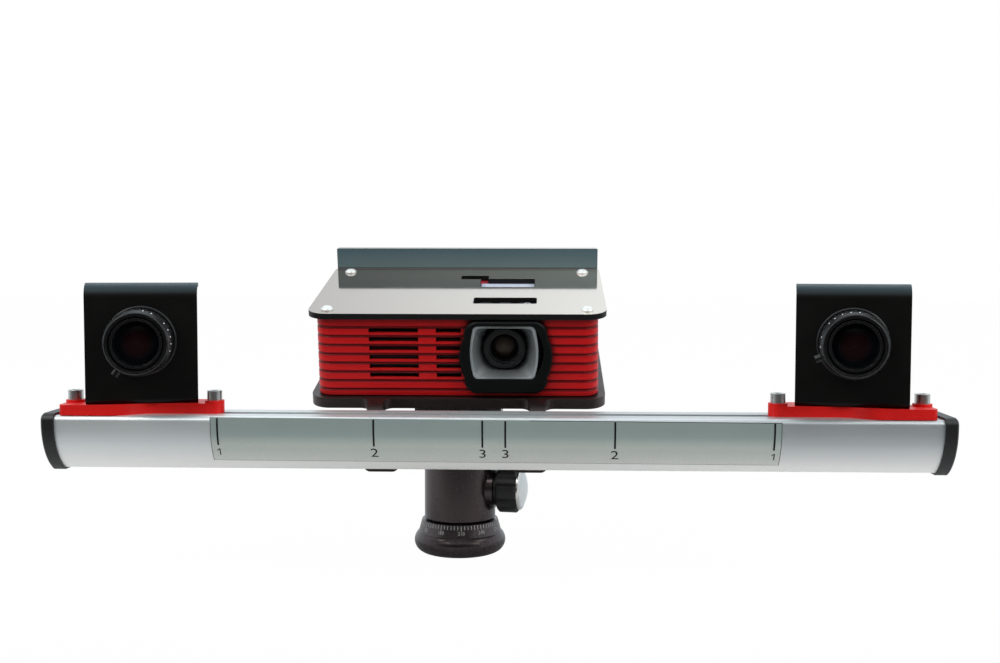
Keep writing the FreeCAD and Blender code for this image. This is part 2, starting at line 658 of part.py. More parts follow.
def quick_plate():
    foot = QUICK_FOOT_WIDTH / 2
    waist = foot - GROOVE_DEPTH
    wide = QUICK_WIDTH / 2
    right = [(foot, CLAMP_DECK), (foot, FOOT_TOP), (waist, GROOVE_TOP), (waist, SLAB_BOTTOM), (wide, SLAB_BOTTOM),
             (wide, STACK_TOP)]
    left = [(-a, b) for a, b in reversed(right)]
    half = CLAMP_HALF - EPS
    solid = outline(in_xz(-half), right[0], right[1:] + left).extrude(V(0, 2 * half, 0))
    solid = solid.translated(V(QUICK_CENTRE_X, 0, 0))
    head_room = rod(PLATE_SCREW_HEAD + SEAT_GAP, V(QUICK_CENTRE_X, 0, CLAMP_DECK - EPS), Z,
                    PLATE_SCREW_HEAD_HEIGHT + SEAT_GAP + EPS)
    hole = rod(PLATE_SCREW_RADIUS + SLIP, V(QUICK_CENTRE_X, 0, CLAMP_DECK), Z, QUICK_THICKNESS + EPS)
    return solid.cut([head_room, hole])


def quick_plate_screw():
    """1/4-20 screw from the quick plate's pocket into the base plate."""
    head_top = CLAMP_DECK + SEAT_GAP + PLATE_SCREW_HEAD_HEIGHT
    head = rod(PLATE_SCREW_HEAD, V(0, 0, head_top - PLATE_SCREW_HEAD_HEIGHT), Z, PLATE_SCREW_HEAD_HEIGHT)
    slot = box(-PLATE_SCREW_HEAD, PLATE_SCREW_HEAD, -HEX_SOCKET / 2, HEX_SOCKET / 2,
               head_top - PLATE_SCREW_HEAD_HEIGHT, head_top - PLATE_SCREW_HEAD_HEIGHT / 2)
    shank = rod(PLATE_SCREW_RADIUS, V(0, 0, head_top), Z, STACK_TOP + PLATE_SCREW_GRIP - head_top)
    return head.cut(slot).fuse(shank).translated(V(QUICK_CENTRE_X, 0, 0))


# ---- plates around the projector ----
HALF_PLATE = PLATE_WIDTH / 2
POST_X = CASE_WIDTH / 2 - POST_SIDE_INSET
POSTS = [(side * POST_X, y) for y in (CASE_FRONT + POST_FRONT_INSET, CASE_BACK - POST_REAR_INSET) for side in (-1, 1)]


def tilted_point(y, z):
    """(Y, Z) in the object's frame of a point in the plate's frame."""
    point = PLATE_FRAME.multVec(V(0, y, z))
    return (point.y, point.z)


def base_plate():
    """Thick plate whose two arms bend down behind the rail and end in bolt tabs."""
    plate = rounded_block(-HALF_PLATE, HALF_PLATE, 0, PLATE_DEPTH, 0, BASE_PLATE, PLATE_CORNER)
    holes = [rod(PLATE_SCREW_RADIUS + RUNNING, V(QUICK_CENTRE_X - PLATE_CENTRE_X, PLATE_FORWARD, -EPS), Z,
                 PLATE_SCREW_GRIP + 2 * EPS)]
    for x, y in POSTS:
        holes.append(rod(POST_SCREW_RADIUS + SLIP, V(x, y, -EPS), Z, BASE_PLATE + 2 * EPS))
        holes.append(Part.makeCone(BUTTON_RADIUS, POST_SCREW_RADIUS, BUTTON_RISE, V(x, y, 0), Z))
    arms = []
    bolt_holes = []
    tilt = math.radians(TILT)
    slope = (-math.cos(tilt), -math.sin(tilt))
    top_edge = tilted_point(0, BASE_PLATE)
    along = (RAIL_BACK - top_edge[0]) / slope[0]
    corner = (RAIL_BACK, top_edge[1] + along * slope[1])
    start = tilted_point(PLATE_CORNER, BASE_PLATE)
    tab_end = RAIL_TOP - TAB_DROP
    for side in (-1, 1):
        inner = side * ARM_INNER
        outer = side * (ARM_INNER + ARM_WIDTH)
        strip = bent_strip(in_yz(PLATE_CENTRE_X + min(inner, outer)), [start, corner, (RAIL_BACK, tab_end + TAB_CORNER)],
                           BASE_PLATE, [ARM_BEND], 1)
        arms.append(strip.extrude(V(ARM_WIDTH, 0, 0)))
        root = outline(in_xy(), (inner - side * ARM_FILLET, EPS), [
            (inner - side * ARM_FILLET, 0),
            arc_point((inner - side * ARM_FILLET, -ARM_FILLET), ARM_FILLET, 90 - side * 45) + (inner, -ARM_FILLET),
            (outer, -ARM_FILLET),
            arc_point((outer + side * ARM_FILLET, -ARM_FILLET), ARM_FILLET, 90 + side * 45)
            + (outer + side * ARM_FILLET, 0),
            (outer + side * ARM_FILLET, EPS)])
        arms.append(placed(root.extrude(V(0, 0, BASE_PLATE)), PLATE_FRAME))
        bend_end = corner[1] - (ARM_BEND + BASE_PLATE) * math.tan(math.radians(90 - TILT) / 2)
        edges = sorted((side * TAB_INNER, side * TAB_OUTER))
        x0, x1 = PLATE_CENTRE_X + edges[0], PLATE_CENTRE_X + edges[1]
        start_tab, moves_tab = rounded_rect(x0, x1, tab_end, bend_end, TAB_CORNER)
        tab = outline(in_xz(RAIL_BACK), start_tab, moves_tab).extrude(V(0, BASE_PLATE, 0))
        hole_x = PLATE_CENTRE_X + side * (TAB_INNER + TAB_OUTER) / 2
        arms.append(tab)
        bolt_holes.append(rod(RAIL_SCREW_RADIUS + SLIP, V(hole_x, RAIL_BACK - EPS, RAIL_TOP + BACK_SLOT_Z), Y,
                              BASE_PLATE + 2 * EPS))
    return placed(plate.cut(holes), PLATE_FRAME).fuse(arms).removeSplitter().cut(bolt_holes)


def rail_fixings():
    """Two M6 button screws through the tabs and the slot nuts that they draw against the rail's back."""
    solids = []
    level = RAIL_TOP + BACK_SLOT_Z
    nut_face = RAIL_BACK - SLOT_LIP - SLIP
    for side in (-1, 1):
        x = PLATE_CENTRE_X + side * (TAB_INNER + TAB_OUTER) / 2
        head_start = RAIL_BACK + BASE_PLATE
        head = rod(RAIL_SCREW_HEAD, V(x, head_start, level), Y, RAIL_SCREW_HEAD_HEIGHT)
        rim = [edge for edge in head.Edges if edge.Curve.TypeId == "Part::GeomCircle" and edge.CenterOfMass.y > head_start + EPS]
        head = head.makeChamfer(RAIL_SCREW_HEAD_HEIGHT / 2, rim)
        socket = on_axis(hex_socket(HEX_SOCKET * 1.6, 0, HEX_SOCKET * 1.4), V(x, head_start + RAIL_SCREW_HEAD_HEIGHT, level), Y)
        shank = rod(RAIL_SCREW_RADIUS, V(x, nut_face - NUT_THICKNESS, level), Y, head_start - nut_face + NUT_THICKNESS)
        half = SLOT_INNER / 2 - SLIP
        nut = box(x - NUT_LENGTH / 2, x + NUT_LENGTH / 2, nut_face - NUT_THICKNESS, nut_face, level - half, level + half)
        nut = nut.cut(rod(RAIL_SCREW_RADIUS + RUNNING, V(x, nut_face - NUT_THICKNESS - EPS, level), Y, NUT_THICKNESS + 2 * EPS))
        solids += [head.fuse(shank).cut(socket), nut]
    return Part.makeCompound(solids)


def window(edges, z0, z1):
    x0, x1, y0, y1 = edges
    return rounded_block(x0, x1, y0, y1, z0, z1, WINDOW_CORNER)


def top_plate():
    """Sheet cover folded up at the back, with two windows over the projector's keys and label."""
    points = [(TOP_SETBACK, CASE_TOP), (PLATE_DEPTH, CASE_TOP), (PLATE_DEPTH, CASE_TOP + TOP_SHEET + FLANGE_HEIGHT)]
    sheet = bent_strip(in_yz(-HALF_PLATE), points, TOP_SHEET, [SHEET_BEND], 1).extrude(V(PLATE_WIDTH, 0, 0))
    low, high = CASE_TOP - EPS, CASE_TOP + TOP_SHEET + EPS
    plan = rounded_block(-HALF_PLATE, HALF_PLATE, TOP_SETBACK, PLATE_DEPTH + 2 * PLATE_CORNER, low,
                         high + FLANGE_HEIGHT, PLATE_CORNER)
    sheet = sheet.common(plan)
    corners = outline(in_xz(0), *rounded_rect(-HALF_PLATE, HALF_PLATE, 0, CASE_TOP + TOP_SHEET + FLANGE_HEIGHT,
                                              FLANGE_CORNER)).extrude(V(0, PLATE_DEPTH + EPS, 0))
    sheet = sheet.common(corners)
    cutters = [window(WINDOW_FRONT, low, high), window(WINDOW_REAR, low, high), window(WINDOW_STEP, low, high)]
    for side in (-1, 1):
        x0, x1 = sorted((side * (HALF_PLATE - FLANGE_INSET), side * (HALF_PLATE + EPS)))
        cutters.append(box(x0, x1, PLATE_DEPTH - TOP_SHEET - SHEET_BEND, PLATE_DEPTH + EPS, CASE_TOP - EPS, high + FLANGE_HEIGHT))
    for x, y in POSTS:
        cutters.append(rod(POST_SCREW_RADIUS + SLIP, V(x, y, low), Z, high - low))
    return sheet.cut(cutters)


def case_posts():
    """Four threaded pillars that hold the two plates apart, inside the projector's corners."""
    solids = []
    for x, y in POSTS:
        post = rod(POST_RADIUS, V(x, y, BASE_PLATE), Z, CASE_HEIGHT)
        for start in (BASE_PLATE - EPS, CASE_TOP - POST_SCREW_DEPTH - EPS):
            post = post.cut(rod(POST_SCREW_RADIUS + RUNNING, V(x, y, start), Z, POST_SCREW_DEPTH + 2 * EPS))
        solids.append(post)
    return Part.makeCompound(solids)


def plate_screws():
    """Button screws on the top plate and countersunk ones under the base plate."""
    solids = []
    top = CASE_TOP + TOP_SHEET
    for x, y in POSTS:
        dome = turned((0, 0), [(BUTTON_RADIUS, 0), (BUTTON_RADIUS, BUTTON_RISE * 0.25),
                               (BUTTON_RADIUS * 0.78, BUTTON_RISE * 0.72, BUTTON_RADIUS * 0.45, BUTTON_RISE),
                               (0, BUTTON_RISE)])
        button = dome.fuse(rod(POST_SCREW_RADIUS, V(0, 0, -TOP_SHEET - POST_SCREW_DEPTH), Z, TOP_SHEET + POST_SCREW_DEPTH))
        solids.append(button.translated(V(x, y, top)))
        sunk = Part.makeCone(BUTTON_RADIUS - SLIP, POST_SCREW_RADIUS, BUTTON_RISE, V(0, 0, 0), Z)
        sunk = sunk.fuse(rod(POST_SCREW_RADIUS, V(0, 0, 0), Z, BASE_PLATE + POST_SCREW_DEPTH))
        sunk = sunk.cut(hex_socket(HEX_SOCKET, 0, BUTTON_RISE / 2).mirror(V(0, 0, 0), Z).translated(V(0, 0, EPS)))
        solids.append(sunk.translated(V(x, y, 0)))
    return Part.makeCompound(solids)


# ---- projector ----
HALF_CASE = CASE_WIDTH / 2
SKIN = RIB_RISE + CASE_WALL       # rib crest to the inside of the wall


def case_half_width(height):
    """Half width of the drafted case at a height in the plate's frame."""
    return HALF_CASE + CASE_DRAFT * (CASE_TOP - height) / CASE_HEIGHT


def case_ring(height, inset):
    """Outline wire of the case at a height, drawn in by inset."""
    half = case_half_width(height) - inset
    start, moves = rounded_rect(-half, half, CASE_FRONT + inset, CASE_BACK - inset, CASE_CORNER - inset)
    return outline(in_xy(height), start, moves).OuterWire


def case_block():
    """Drafted block of the case with a bevelled lower edge."""
    shoulder = CASE_BOTTOM + CASE_EDGE
    foot = Part.makeLoft([case_ring(CASE_BOTTOM, CASE_EDGE), case_ring(shoulder, 0)], True, True)
    return foot.fuse(Part.makeLoft([case_ring(shoulder, 0), case_ring(CASE_TOP, 0)], True, True))


def groove_level(index):
    return CASE_BOTTOM + GROOVE_FOOT + index * RIB_PITCH


def vent_level(index):
    """Middle of a row of vents, counted from the top."""
    return groove_level(GROOVE_COUNT - 1 - index) - VENT_DROP


def groove_ring(height):
    """Round-bottomed groove that runs all round the case between two ribs."""
    crest = case_half_width(height)
    at = (CASE_FRONT + CASE_BACK) / 2
    low, high = height - CASE_GROOVE / 2, height + CASE_GROOVE / 2
    profile = outline(in_xz(at), (crest + EPS, low), [
        (crest, low), (crest - RIB_RISE, height, crest, high), (crest + EPS, high)])
    edges = case_ring(height, 0).OrderedEdges
    side = [edge for edge in edges if edge.CenterOfMass.x > crest - EPS and edge.Curve.TypeId == "Part::GeomLine"][0]
    first = [index for index, edge in enumerate(edges) if edge.isSame(side)][0]
    loop = edges[first + 1:] + edges[:first]
    middle = V(crest, at, height)
    behind = V(crest, CASE_BACK - CASE_CORNER, height)
    ahead = V(crest, CASE_FRONT + CASE_CORNER, height)
    route = [Part.makeLine(middle, behind)] + loop + [Part.makeLine(ahead, middle)]
    return Part.Wire(route).makePipeShell([profile.OuterWire], True, False)


def case_shell():
    """Ribbed upper shell of the projector: roof and four walls, open below."""
    shell = case_block().cut([groove_ring(groove_level(index)) for index in range(GROOVE_COUNT)])
    hollow = rounded_block(-HALF_CASE + SKIN, HALF_CASE - SKIN, CASE_FRONT + SKIN, CASE_BACK - SKIN,
                           CASE_BOTTOM - EPS, CASE_TOP - CASE_ROOF, CASE_CORNER - SKIN)
    cutters = [hollow]
    for x0, x1 in (VENT_LEFT, VENT_RIGHT):
        for index in range(VENT_COUNT):
            middle = vent_level(index)
            cutters.append(box(x0, x1, CASE_FRONT - EPS, CASE_FRONT + SKIN + EPS,
                               middle - VENT_HEIGHT / 2, middle + VENT_HEIGHT / 2))
    opening = barrel_outline(HOOD_CENTRE_X, HOOD_CENTRE_Z, HOOD_HALF_WIDTH - HOOD_SEAT, HOOD_BULGE,
                             HOOD_HALF_HEIGHT - HOOD_SEAT, HOOD_CORNER, CASE_FRONT - EPS)
    cutters.append(opening.extrude(V(0, SKIN + 2 * EPS, 0)))
    x0, x1, y0, y1 = keypad_edges(0)
    cutters.append(box(x0, x1, y0, y1, CASE_TOP - KEYPAD_THICKNESS, CASE_TOP + EPS))
    for x in key_places():
        cutters.append(key_well(x, SLIP, CASE_TOP - CASE_ROOF - EPS, CASE_TOP))
    cutters.append(box(-PANEL_HALF_WIDTH, PANEL_HALF_WIDTH, CASE_BACK - SKIN - EPS, CASE_BACK + EPS, PANEL_BOTTOM, PANEL_TOP))
    for x, y in POSTS:
        cutters.append(rod(POST_RADIUS + SLIP, V(x, y, CASE_BOTTOM), Z, CASE_HEIGHT + EPS))
    return shell.cut(cutters)


def barrel_outline(cx, cz, half_width, bulge, half_height, corner, y):
    """Rounded frame outline with bowed sides; corner gives the corner's width and height."""
    wide, tall = corner
    corner_mid = (half_width - wide * 0.3, half_height - tall * 0.26)
    points = [(half_width - wide, half_height), corner_mid + (half_width, half_height - tall),
              (half_width + bulge, 0, half_width, tall - half_height),
              (corner_mid[0], -corner_mid[1], half_width - wide, -half_height),
              (wide - half_width, -half_height),
              (-corner_mid[0], -corner_mid[1], -half_width, tall - half_height),
              (-half_width - bulge, 0, -half_width, half_height - tall),
              (-corner_mid[0], corner_mid[1], wide - half_width, half_height)]
    shift = [tuple(value + (cx, cz)[place % 2] for place, value in enumerate(move)) for move in points]
    return outline(in_xz(y), shift[0], shift[1:])


def case_floor():
    inset = SKIN + SLIP
    floor = rounded_block(-HALF_CASE + inset, HALF_CASE - inset, CASE_FRONT + inset, CASE_BACK - inset,
                          CASE_BOTTOM, CASE_BOTTOM + FLOOR_THICKNESS, CASE_CORNER - inset)
    holes = [rod(POST_RADIUS + SLIP, V(x, y, CASE_BOTTOM - EPS), Z, FLOOR_THICKNESS + 2 * EPS) for x, y in POSTS]
    return floor.cut(holes)


def vent_louvres():
    """Dark slatted insert behind the front slots; it stands on the case floor."""
    front = CASE_FRONT + SKIN + LOUVRE_GAP
    back = front + LOUVRE_DEPTH
    left = VENT_LEFT[0] - LOUVRE_BACK
    right = HOOD_CENTRE_X - SECTOR_RADIUS - 2 * LOUVRE_BACK
    floor = CASE_BOTTOM + FLOOR_THICKNESS
    plate = box(left, right, back - LOUVRE_BACK, back, floor, vent_level(0) + VENT_HEIGHT / 2)
    slats = []
    for index in range(VENT_COUNT):
        middle = vent_level(0) - LOUVRE_DROP - index * LOUVRE_PITCH
        drop = LOUVRE_DEPTH / 2
        slat = outline(in_yz(left), (front, middle - drop / 2), [
            (front, middle - drop / 2 + LOUVRE_SLAT), (back, middle + drop / 2 + LOUVRE_SLAT), (back, middle + drop / 2)])
        slats.append(slat.extrude(V(right - left, 0, 0)))
    return plate.fuse(slats)


def hood_outline(shrink, y):
    return barrel_outline(HOOD_CENTRE_X, HOOD_CENTRE_Z, HOOD_HALF_WIDTH - shrink, HOOD_BULGE,
                          HOOD_HALF_HEIGHT - shrink, HOOD_CORNER, y)


def lens_hood():
    """Black frame around the lens window, with a slot on each side that shows the focus sector's teeth."""
    shoulder = HOOD_FRONT + HOOD_EDGE
    face = hood_outline(0, shoulder)
    bevel = Part.makeLoft([hood_outline(HOOD_EDGE, HOOD_FRONT).OuterWire, face.OuterWire], True, True)
    hood = face.extrude(V(0, CASE_FRONT - shoulder, 0)).fuse(bevel)
    aperture = barrel_outline(LENS_X, FUNNEL_CENTRE_Z, FUNNEL_HALF_WIDTH + SLIP, FUNNEL_BULGE,
                              FUNNEL_HALF_HEIGHT + SLIP, FUNNEL_CORNER, HOOD_FRONT - EPS)
    cutters = [aperture.extrude(V(0, CASE_FRONT - HOOD_FRONT + 2 * EPS, 0))]
    ring = tube(SECTOR_RADIUS + SEAT_GAP, SECTOR_RADIUS - SECTOR_RIM - 1.0, V(LENS_X, HOOD_FRONT - EPS, LENS_Z), Y,
                CASE_FRONT - HOOD_FRONT + 2 * EPS)
    low = LENS_Z + SECTOR_SLOT_OFFSET - SECTOR_SLOT_HALF_HEIGHT
    high = low + 2 * SECTOR_SLOT_HALF_HEIGHT
    band = box(LENS_X, LENS_X + SECTOR_RADIUS + 1, HOOD_FRONT - EPS, CASE_FRONT + EPS, low, high)
    cutters.append(ring.common(band))
    return hood.cut(cutters)


def funnel_loft(shrink, grow, depth_from, depth_to):
    """Solid between a bowed window, shrunk by a wall, and a nearly round throat, grown by a wall."""
    front = barrel_outline(LENS_X, FUNNEL_CENTRE_Z, FUNNEL_HALF_WIDTH - shrink, FUNNEL_BULGE,
                           FUNNEL_HALF_HEIGHT - shrink, FUNNEL_CORNER, depth_from)
    throat = BARREL_RADIUS + SEAT_GAP + grow
    bow = throat * 0.03
    corner = throat * 0.75
    back = barrel_outline(LENS_X, LENS_Z, throat - bow, bow, throat, (corner, corner), depth_to)
    return Part.makeLoft([front.OuterWire, back.OuterWire], True, True)


def lens_funnel():
    """Silvered funnel that leads from the hood's window down to the lens barrel."""
    front = HOOD_FRONT + FUNNEL_LIP / 2
    back = front + FUNNEL_DEPTH
    outer = funnel_loft(0, FUNNEL_WALL, front, back)
    inner = funnel_loft(FUNNEL_WALL, 0, front - EPS, back + EPS)
    return outer.cut(inner)


def lens_barrel():
    back = BARREL_LENGTH
    glass_front = GLASS_RECESS
    barrel = turned((BARREL_STEP_RADIUS, 0), [
        (BARREL_RADIUS - 0.8, 0), (BARREL_RADIUS, 0.8), (BARREL_RADIUS, back), (0, back),
        (0, glass_front + 2), (GLASS_RADIUS + SLIP, glass_front + 2), (GLASS_RADIUS + SLIP, glass_front - 1),
        (BARREL_STEP_RADIUS - 1, 2), (BARREL_STEP_RADIUS, 2)])
    return on_axis(barrel, V(LENS_X, BARREL_START, LENS_Z), Y)


def projector_lens():
    """Front element, domed towards the viewer."""
    seat = GLASS_RECESS + 2
    crown = dome(GLASS_RADIUS, GLASS_RISE - seat, GLASS_RISE)
    lens = turned((0, -seat), [(GLASS_RADIUS, -seat), (GLASS_RADIUS, GLASS_RISE - seat), crown])
    lens = lens.rotated(V(0, 0, 0), X, 180)
    return on_axis(lens, V(LENS_X, BARREL_START, LENS_Z), Y)


def focus_sector():
    """Toothed sector on a hub that turns on the lens barrel."""
    hub_outer = BARREL_RADIUS + RUNNING + SECTOR_HUB
    hub = tube(hub_outer, BARREL_RADIUS + RUNNING, V(0, 0, 0), Z, SECTOR_THICKNESS)
    half = SECTOR_HALF_ANGLE
    inner = BARREL_RADIUS + RUNNING + SECTOR_HUB / 2
    face = outline(in_xy(), arc_point((0, 0), inner, -half), [
        arc_point((0, 0), SECTOR_RADIUS, -half),
        arc_point((0, 0), SECTOR_RADIUS, 0) + arc_point((0, 0), SECTOR_RADIUS, half),
        arc_point((0, 0), inner, half), arc_point((0, 0), inner, 0) + arc_point((0, 0), inner, -half)])
    rim_inner = SECTOR_RADIUS - SECTOR_RIM
    rim = outline(in_xy(), arc_point((0, 0), rim_inner, -half), [
        arc_point((0, 0), SECTOR_RADIUS, -half),
        arc_point((0, 0), SECTOR_RADIUS, 0) + arc_point((0, 0), SECTOR_RADIUS, half),
        arc_point((0, 0), rim_inner, half), arc_point((0, 0), rim_inner, 0) + arc_point((0, 0), rim_inner, -half)])
    depth = SECTOR_START + SECTOR_THICKNESS - SECTOR_FRONT
    sector = face.extrude(V(0, 0, SECTOR_THICKNESS)).fuse(rim.extrude(V(0, 0, depth)))
    gaps = []
    pitch = 2 * half / SECTOR_TEETH
    width = SECTOR_RADIUS * math.radians(pitch) * 0.22
    for index in range(1, SECTOR_TEETH):
        gap = box(rim_inner + SECTOR_RIM / 2, SECTOR_RADIUS + 1, -width / 2, width / 2, -EPS, depth + EPS)
        gaps.append(gap.rotated(V(0, 0, 0), Z, index * pitch - half))
    solid = hub.fuse(sector).cut(gaps)
    turned_up = solid.rotated(V(0, 0, 0), X, 90)
    return turned_up.translated(V(LENS_X, SECTOR_START + SECTOR_THICKNESS, LENS_Z))


def light_engine():
    """Cast block behind the lens, finned on top, standing on the case floor."""
    start = BARREL_START + BARREL_LENGTH
    floor = CASE_BOTTOM + FLOOR_THICKNESS
    top = CASE_TOP - CASE_ROOF - ENGINE_HEADROOM
    half = ENGINE_WIDTH / 2
    block = box(LENS_X - half, LENS_X + half, start, start + ENGINE_DEPTH, floor, top)
    pitch = (ENGINE_WIDTH - ENGINE_FIN) / ENGINE_FIN_COUNT
    gaps = []
    for index in range(ENGINE_FIN_COUNT):
        left = LENS_X - half + ENGINE_FIN + index * pitch
        gaps.append(box(left, left + pitch - ENGINE_FIN, start + ENGINE_FIN, start + ENGINE_DEPTH + EPS,
                        top - ENGINE_FIN_HEIGHT, top + EPS))
    return block.cut(gaps)


def keypad_edges(margin):
    x0, x1, y0, y1 = WINDOW_FRONT
    grow = KEYPAD_MARGIN - margin
    return x0 - grow, x1 + grow, y0 - grow, y1 + grow


def key_places():
    middle = (WINDOW_FRONT[0] + WINDOW_FRONT[1]) / 2
    return [middle + (index - (KEY_COUNT - 1) / 2) * KEY_PITCH for index in range(KEY_COUNT)]


def key_well(x, clearance, z0, z1):
    middle = (WINDOW_FRONT[2] + WINDOW_FRONT[3]) / 2
    wide = KEY_WIDTH / 2 + clearance
    deep = KEY_DEPTH / 2 + clearance
    return rounded_block(x - wide, x + wide, middle - deep, middle + deep, z0, z1, KEY_CORNER)


def keypad_panel():
    x0, x1, y0, y1 = keypad_edges(SLIP)
    panel = box(x0, x1, y0, y1, CASE_TOP - KEYPAD_THICKNESS, CASE_TOP)
    wells = [key_well(x, SLIP, CASE_TOP - KEYPAD_THICKNESS - EPS, CASE_TOP + EPS) for x in key_places()]
    return panel.cut(wells)


def key_cap(x):
    """A key with a flange under the roof that keeps it in."""
    middle = (WINDOW_FRONT[2] + WINDOW_FRONT[3]) / 2
    foot = CASE_TOP - CASE_ROOF - SLIP
    stem = key_well(x, -RUNNING, foot, CASE_TOP + KEY_RISE)
    crown = [edge for edge in stem.Edges if abs(edge.CenterOfMass.z - CASE_TOP - KEY_RISE) < 1e-6]
    stem = stem.makeChamfer(0.4, crown)
    flange = box(x - KEY_WIDTH / 2 - 1, x + KEY_WIDTH / 2 + 1, middle - KEY_DEPTH / 2 - 1, middle + KEY_DEPTH / 2 + 1,
                 foot - 1, foot)
    return stem.fuse(flange)


def rear_panel():
    """Connector panel in the back wall: two data sockets and a power inlet."""
    clear = SLIP
    face = CASE_BACK - RIB_RISE
    block = box(-PANEL_HALF_WIDTH + clear, PANEL_HALF_WIDTH - clear, face - PANEL_DEPTH, face,
                PANEL_BOTTOM + clear, PANEL_TOP - clear)
    cutters = []
    for x, (wide, tall) in ((HDMI_X, HDMI_SIZE), (USB_X, USB_SIZE)):
        cutters.append(box(x - wide / 2, x + wide / 2, face - PORT_DEPTH, face + EPS, PORT_Z - tall / 2, PORT_Z + tall / 2))
    cutters.append(rod(POWER_RADIUS, V(POWER_X, face - PORT_DEPTH, PORT_Z), Y, PORT_DEPTH + EPS))
    pin = rod(POWER_PIN, V(POWER_X, face - PORT_DEPTH - EPS, PORT_Z), Y, PORT_DEPTH - EPS)
    feet = box(-PANEL_HALF_WIDTH + clear, PANEL_HALF_WIDTH - clear, face - PANEL_DEPTH, face - SKIN - EPS,
               CASE_BOTTOM + FLOOR_THICKNESS, PANEL_BOTTOM + clear)
    return block.fuse(feet).cut(cutters).fuse(pin)


# ---- rail, in its own frame: x from its middle, y from its front, z from its top ----
FRONT_CENTRE = (RAIL_FRONT_RADIUS, FRONT_ARC_Z)


def front_depth(radius, height):
    """Depth of an arc about the front's centre at a height."""
    return FRONT_CENTRE[0] - math.sqrt(radius ** 2 - (FRONT_CENTRE[1] - height) ** 2)


def rail_outline():
    """Flat top, bottom and back; the front bows from an upright top down to the toe."""
    edge, heel, toe = RAIL_EDGE, RAIL_HEEL, RAIL_TOE
    front_top = arc_point((edge, -edge), edge, QUARTER + EIGHTH) + (edge, 0)
    back_top = arc_point((RAIL_DEPTH - edge, -edge), edge, EIGHTH) + (RAIL_DEPTH, -edge)
    back_low = arc_point((RAIL_DEPTH - heel, heel - RAIL_HEIGHT), heel, -EIGHTH) + (RAIL_DEPTH - heel, -RAIL_HEIGHT)
    toe_centre = (front_depth(RAIL_FRONT_RADIUS - toe, toe - RAIL_HEIGHT), toe - RAIL_HEIGHT)
    meet = math.degrees(math.atan2(toe_centre[1] - FRONT_CENTRE[1], toe_centre[0] - FRONT_CENTRE[0])) % FULL
    tangent = arc_point(FRONT_CENTRE, RAIL_FRONT_RADIUS, meet)
    toe_arc = arc_point(toe_centre, toe, (meet + 3 * QUARTER) / 2) + tangent
    bow = arc_point(FRONT_CENTRE, RAIL_FRONT_RADIUS, (meet + 2 * QUARTER) / 2) + (0, FRONT_ARC_Z)
    return (0, -edge), [front_top, (RAIL_DEPTH - edge, 0), back_top, (RAIL_DEPTH, heel - RAIL_HEIGHT), back_low,
                        (toe_centre[0], -RAIL_HEIGHT), toe_arc, bow]


def rail_core(shrink):
    """The hollow behind the front wall, under the top slot."""
    radius = RAIL_FRONT_RADIUS - RAIL_WALL - shrink
    ceiling = -SLOT_DEPTH - RAIL_WALL - shrink
    back = RAIL_DEPTH - SLOT_DEPTH - CORE_BACK_WALL - shrink
    bottom = RAIL_WALL + shrink - RAIL_HEIGHT
    middle = (ceiling + bottom) / 2
    return (front_depth(radius, ceiling), ceiling), [
        (back, ceiling), (back, bottom), (front_depth(radius, bottom), bottom),
        (front_depth(radius, middle), middle, front_depth(radius, ceiling), ceiling)]


def slot_cutters(mouth, inward, across, start, length):
    """Neck and inner channel of a T-slot that runs along +X."""
    solids = []
    for width, first, last in ((SLOT_WIDTH, -EPS, SLOT_LIP + EPS), (SLOT_INNER, SLOT_LIP, SLOT_DEPTH)):
        corner = mouth + inward * first - across * (width / 2)
        size = inward * (last - first) + across * width
        low = V(start, min(corner.y, corner.y + size.y), min(corner.z, corner.z + size.z))
        solids.append(Part.makeBox(length, abs(size.y), abs(size.z), low))
    return solids


def rail():
    start, moves = rail_outline()
    left = -RAIL_LENGTH / 2
    bar = outline(in_yz(left), start, moves).extrude(V(RAIL_LENGTH, 0, 0))
    core_start, core_moves = rail_core(0)
    core = outline(in_yz(left - EPS), core_start, core_moves).extrude(V(RAIL_LENGTH + 2 * EPS, 0, 0))
    cutters = [core]
    cutters += slot_cutters(V(0, SLOT_Y, 0), V(0, 0, -1), Y, left - EPS, RAIL_LENGTH + 2 * EPS)
    cutters += slot_cutters(V(0, RAIL_DEPTH, BACK_SLOT_Z), V(0, -1, 0), Z, left - EPS, RAIL_LENGTH + 2 * EPS)
    return bar.cut(cutters)


def end_cap(side):
    """Plastic cap, a little proud of the rail, with a plug in the rail's core."""
    start, moves = rail_outline()
    face = outline(in_yz(0), start, moves)
    grown = face.makeOffset2D(CAP_PROUD)
    cap = grown.extrude(V(CAP_THICKNESS, 0, 0))
    rim = [edge for edge in cap.Edges if abs(edge.CenterOfMass.x - CAP_THICKNESS) < 1e-6]
    cap = cap.makeChamfer(CAP_EDGE, rim)
    plug_start, plug_moves = rail_core(SLIP)
    plug = outline(in_yz(-CAP_PLUG), plug_start, plug_moves).extrude(V(CAP_PLUG, 0, 0))
    solid = cap.fuse(plug).translated(V(RAIL_LENGTH / 2, 0, 0))
    return solid if side > 0 else mirrored(solid)


# ---- camera module, made for the right side and mirrored for the left ----
# x runs outwards from the carriage's middle, y backwards from the slot's centre, z up from the rail.
def bracket_frame(toe_in):
    """The bracket's frame: its front face is turned by the toe-in."""
    return FreeCAD.Placement(V(-BRACKET_INSET, -BRACKET_OFFSET, CARRIAGE_THICKNESS), FreeCAD.Rotation(Z, -toe_in))


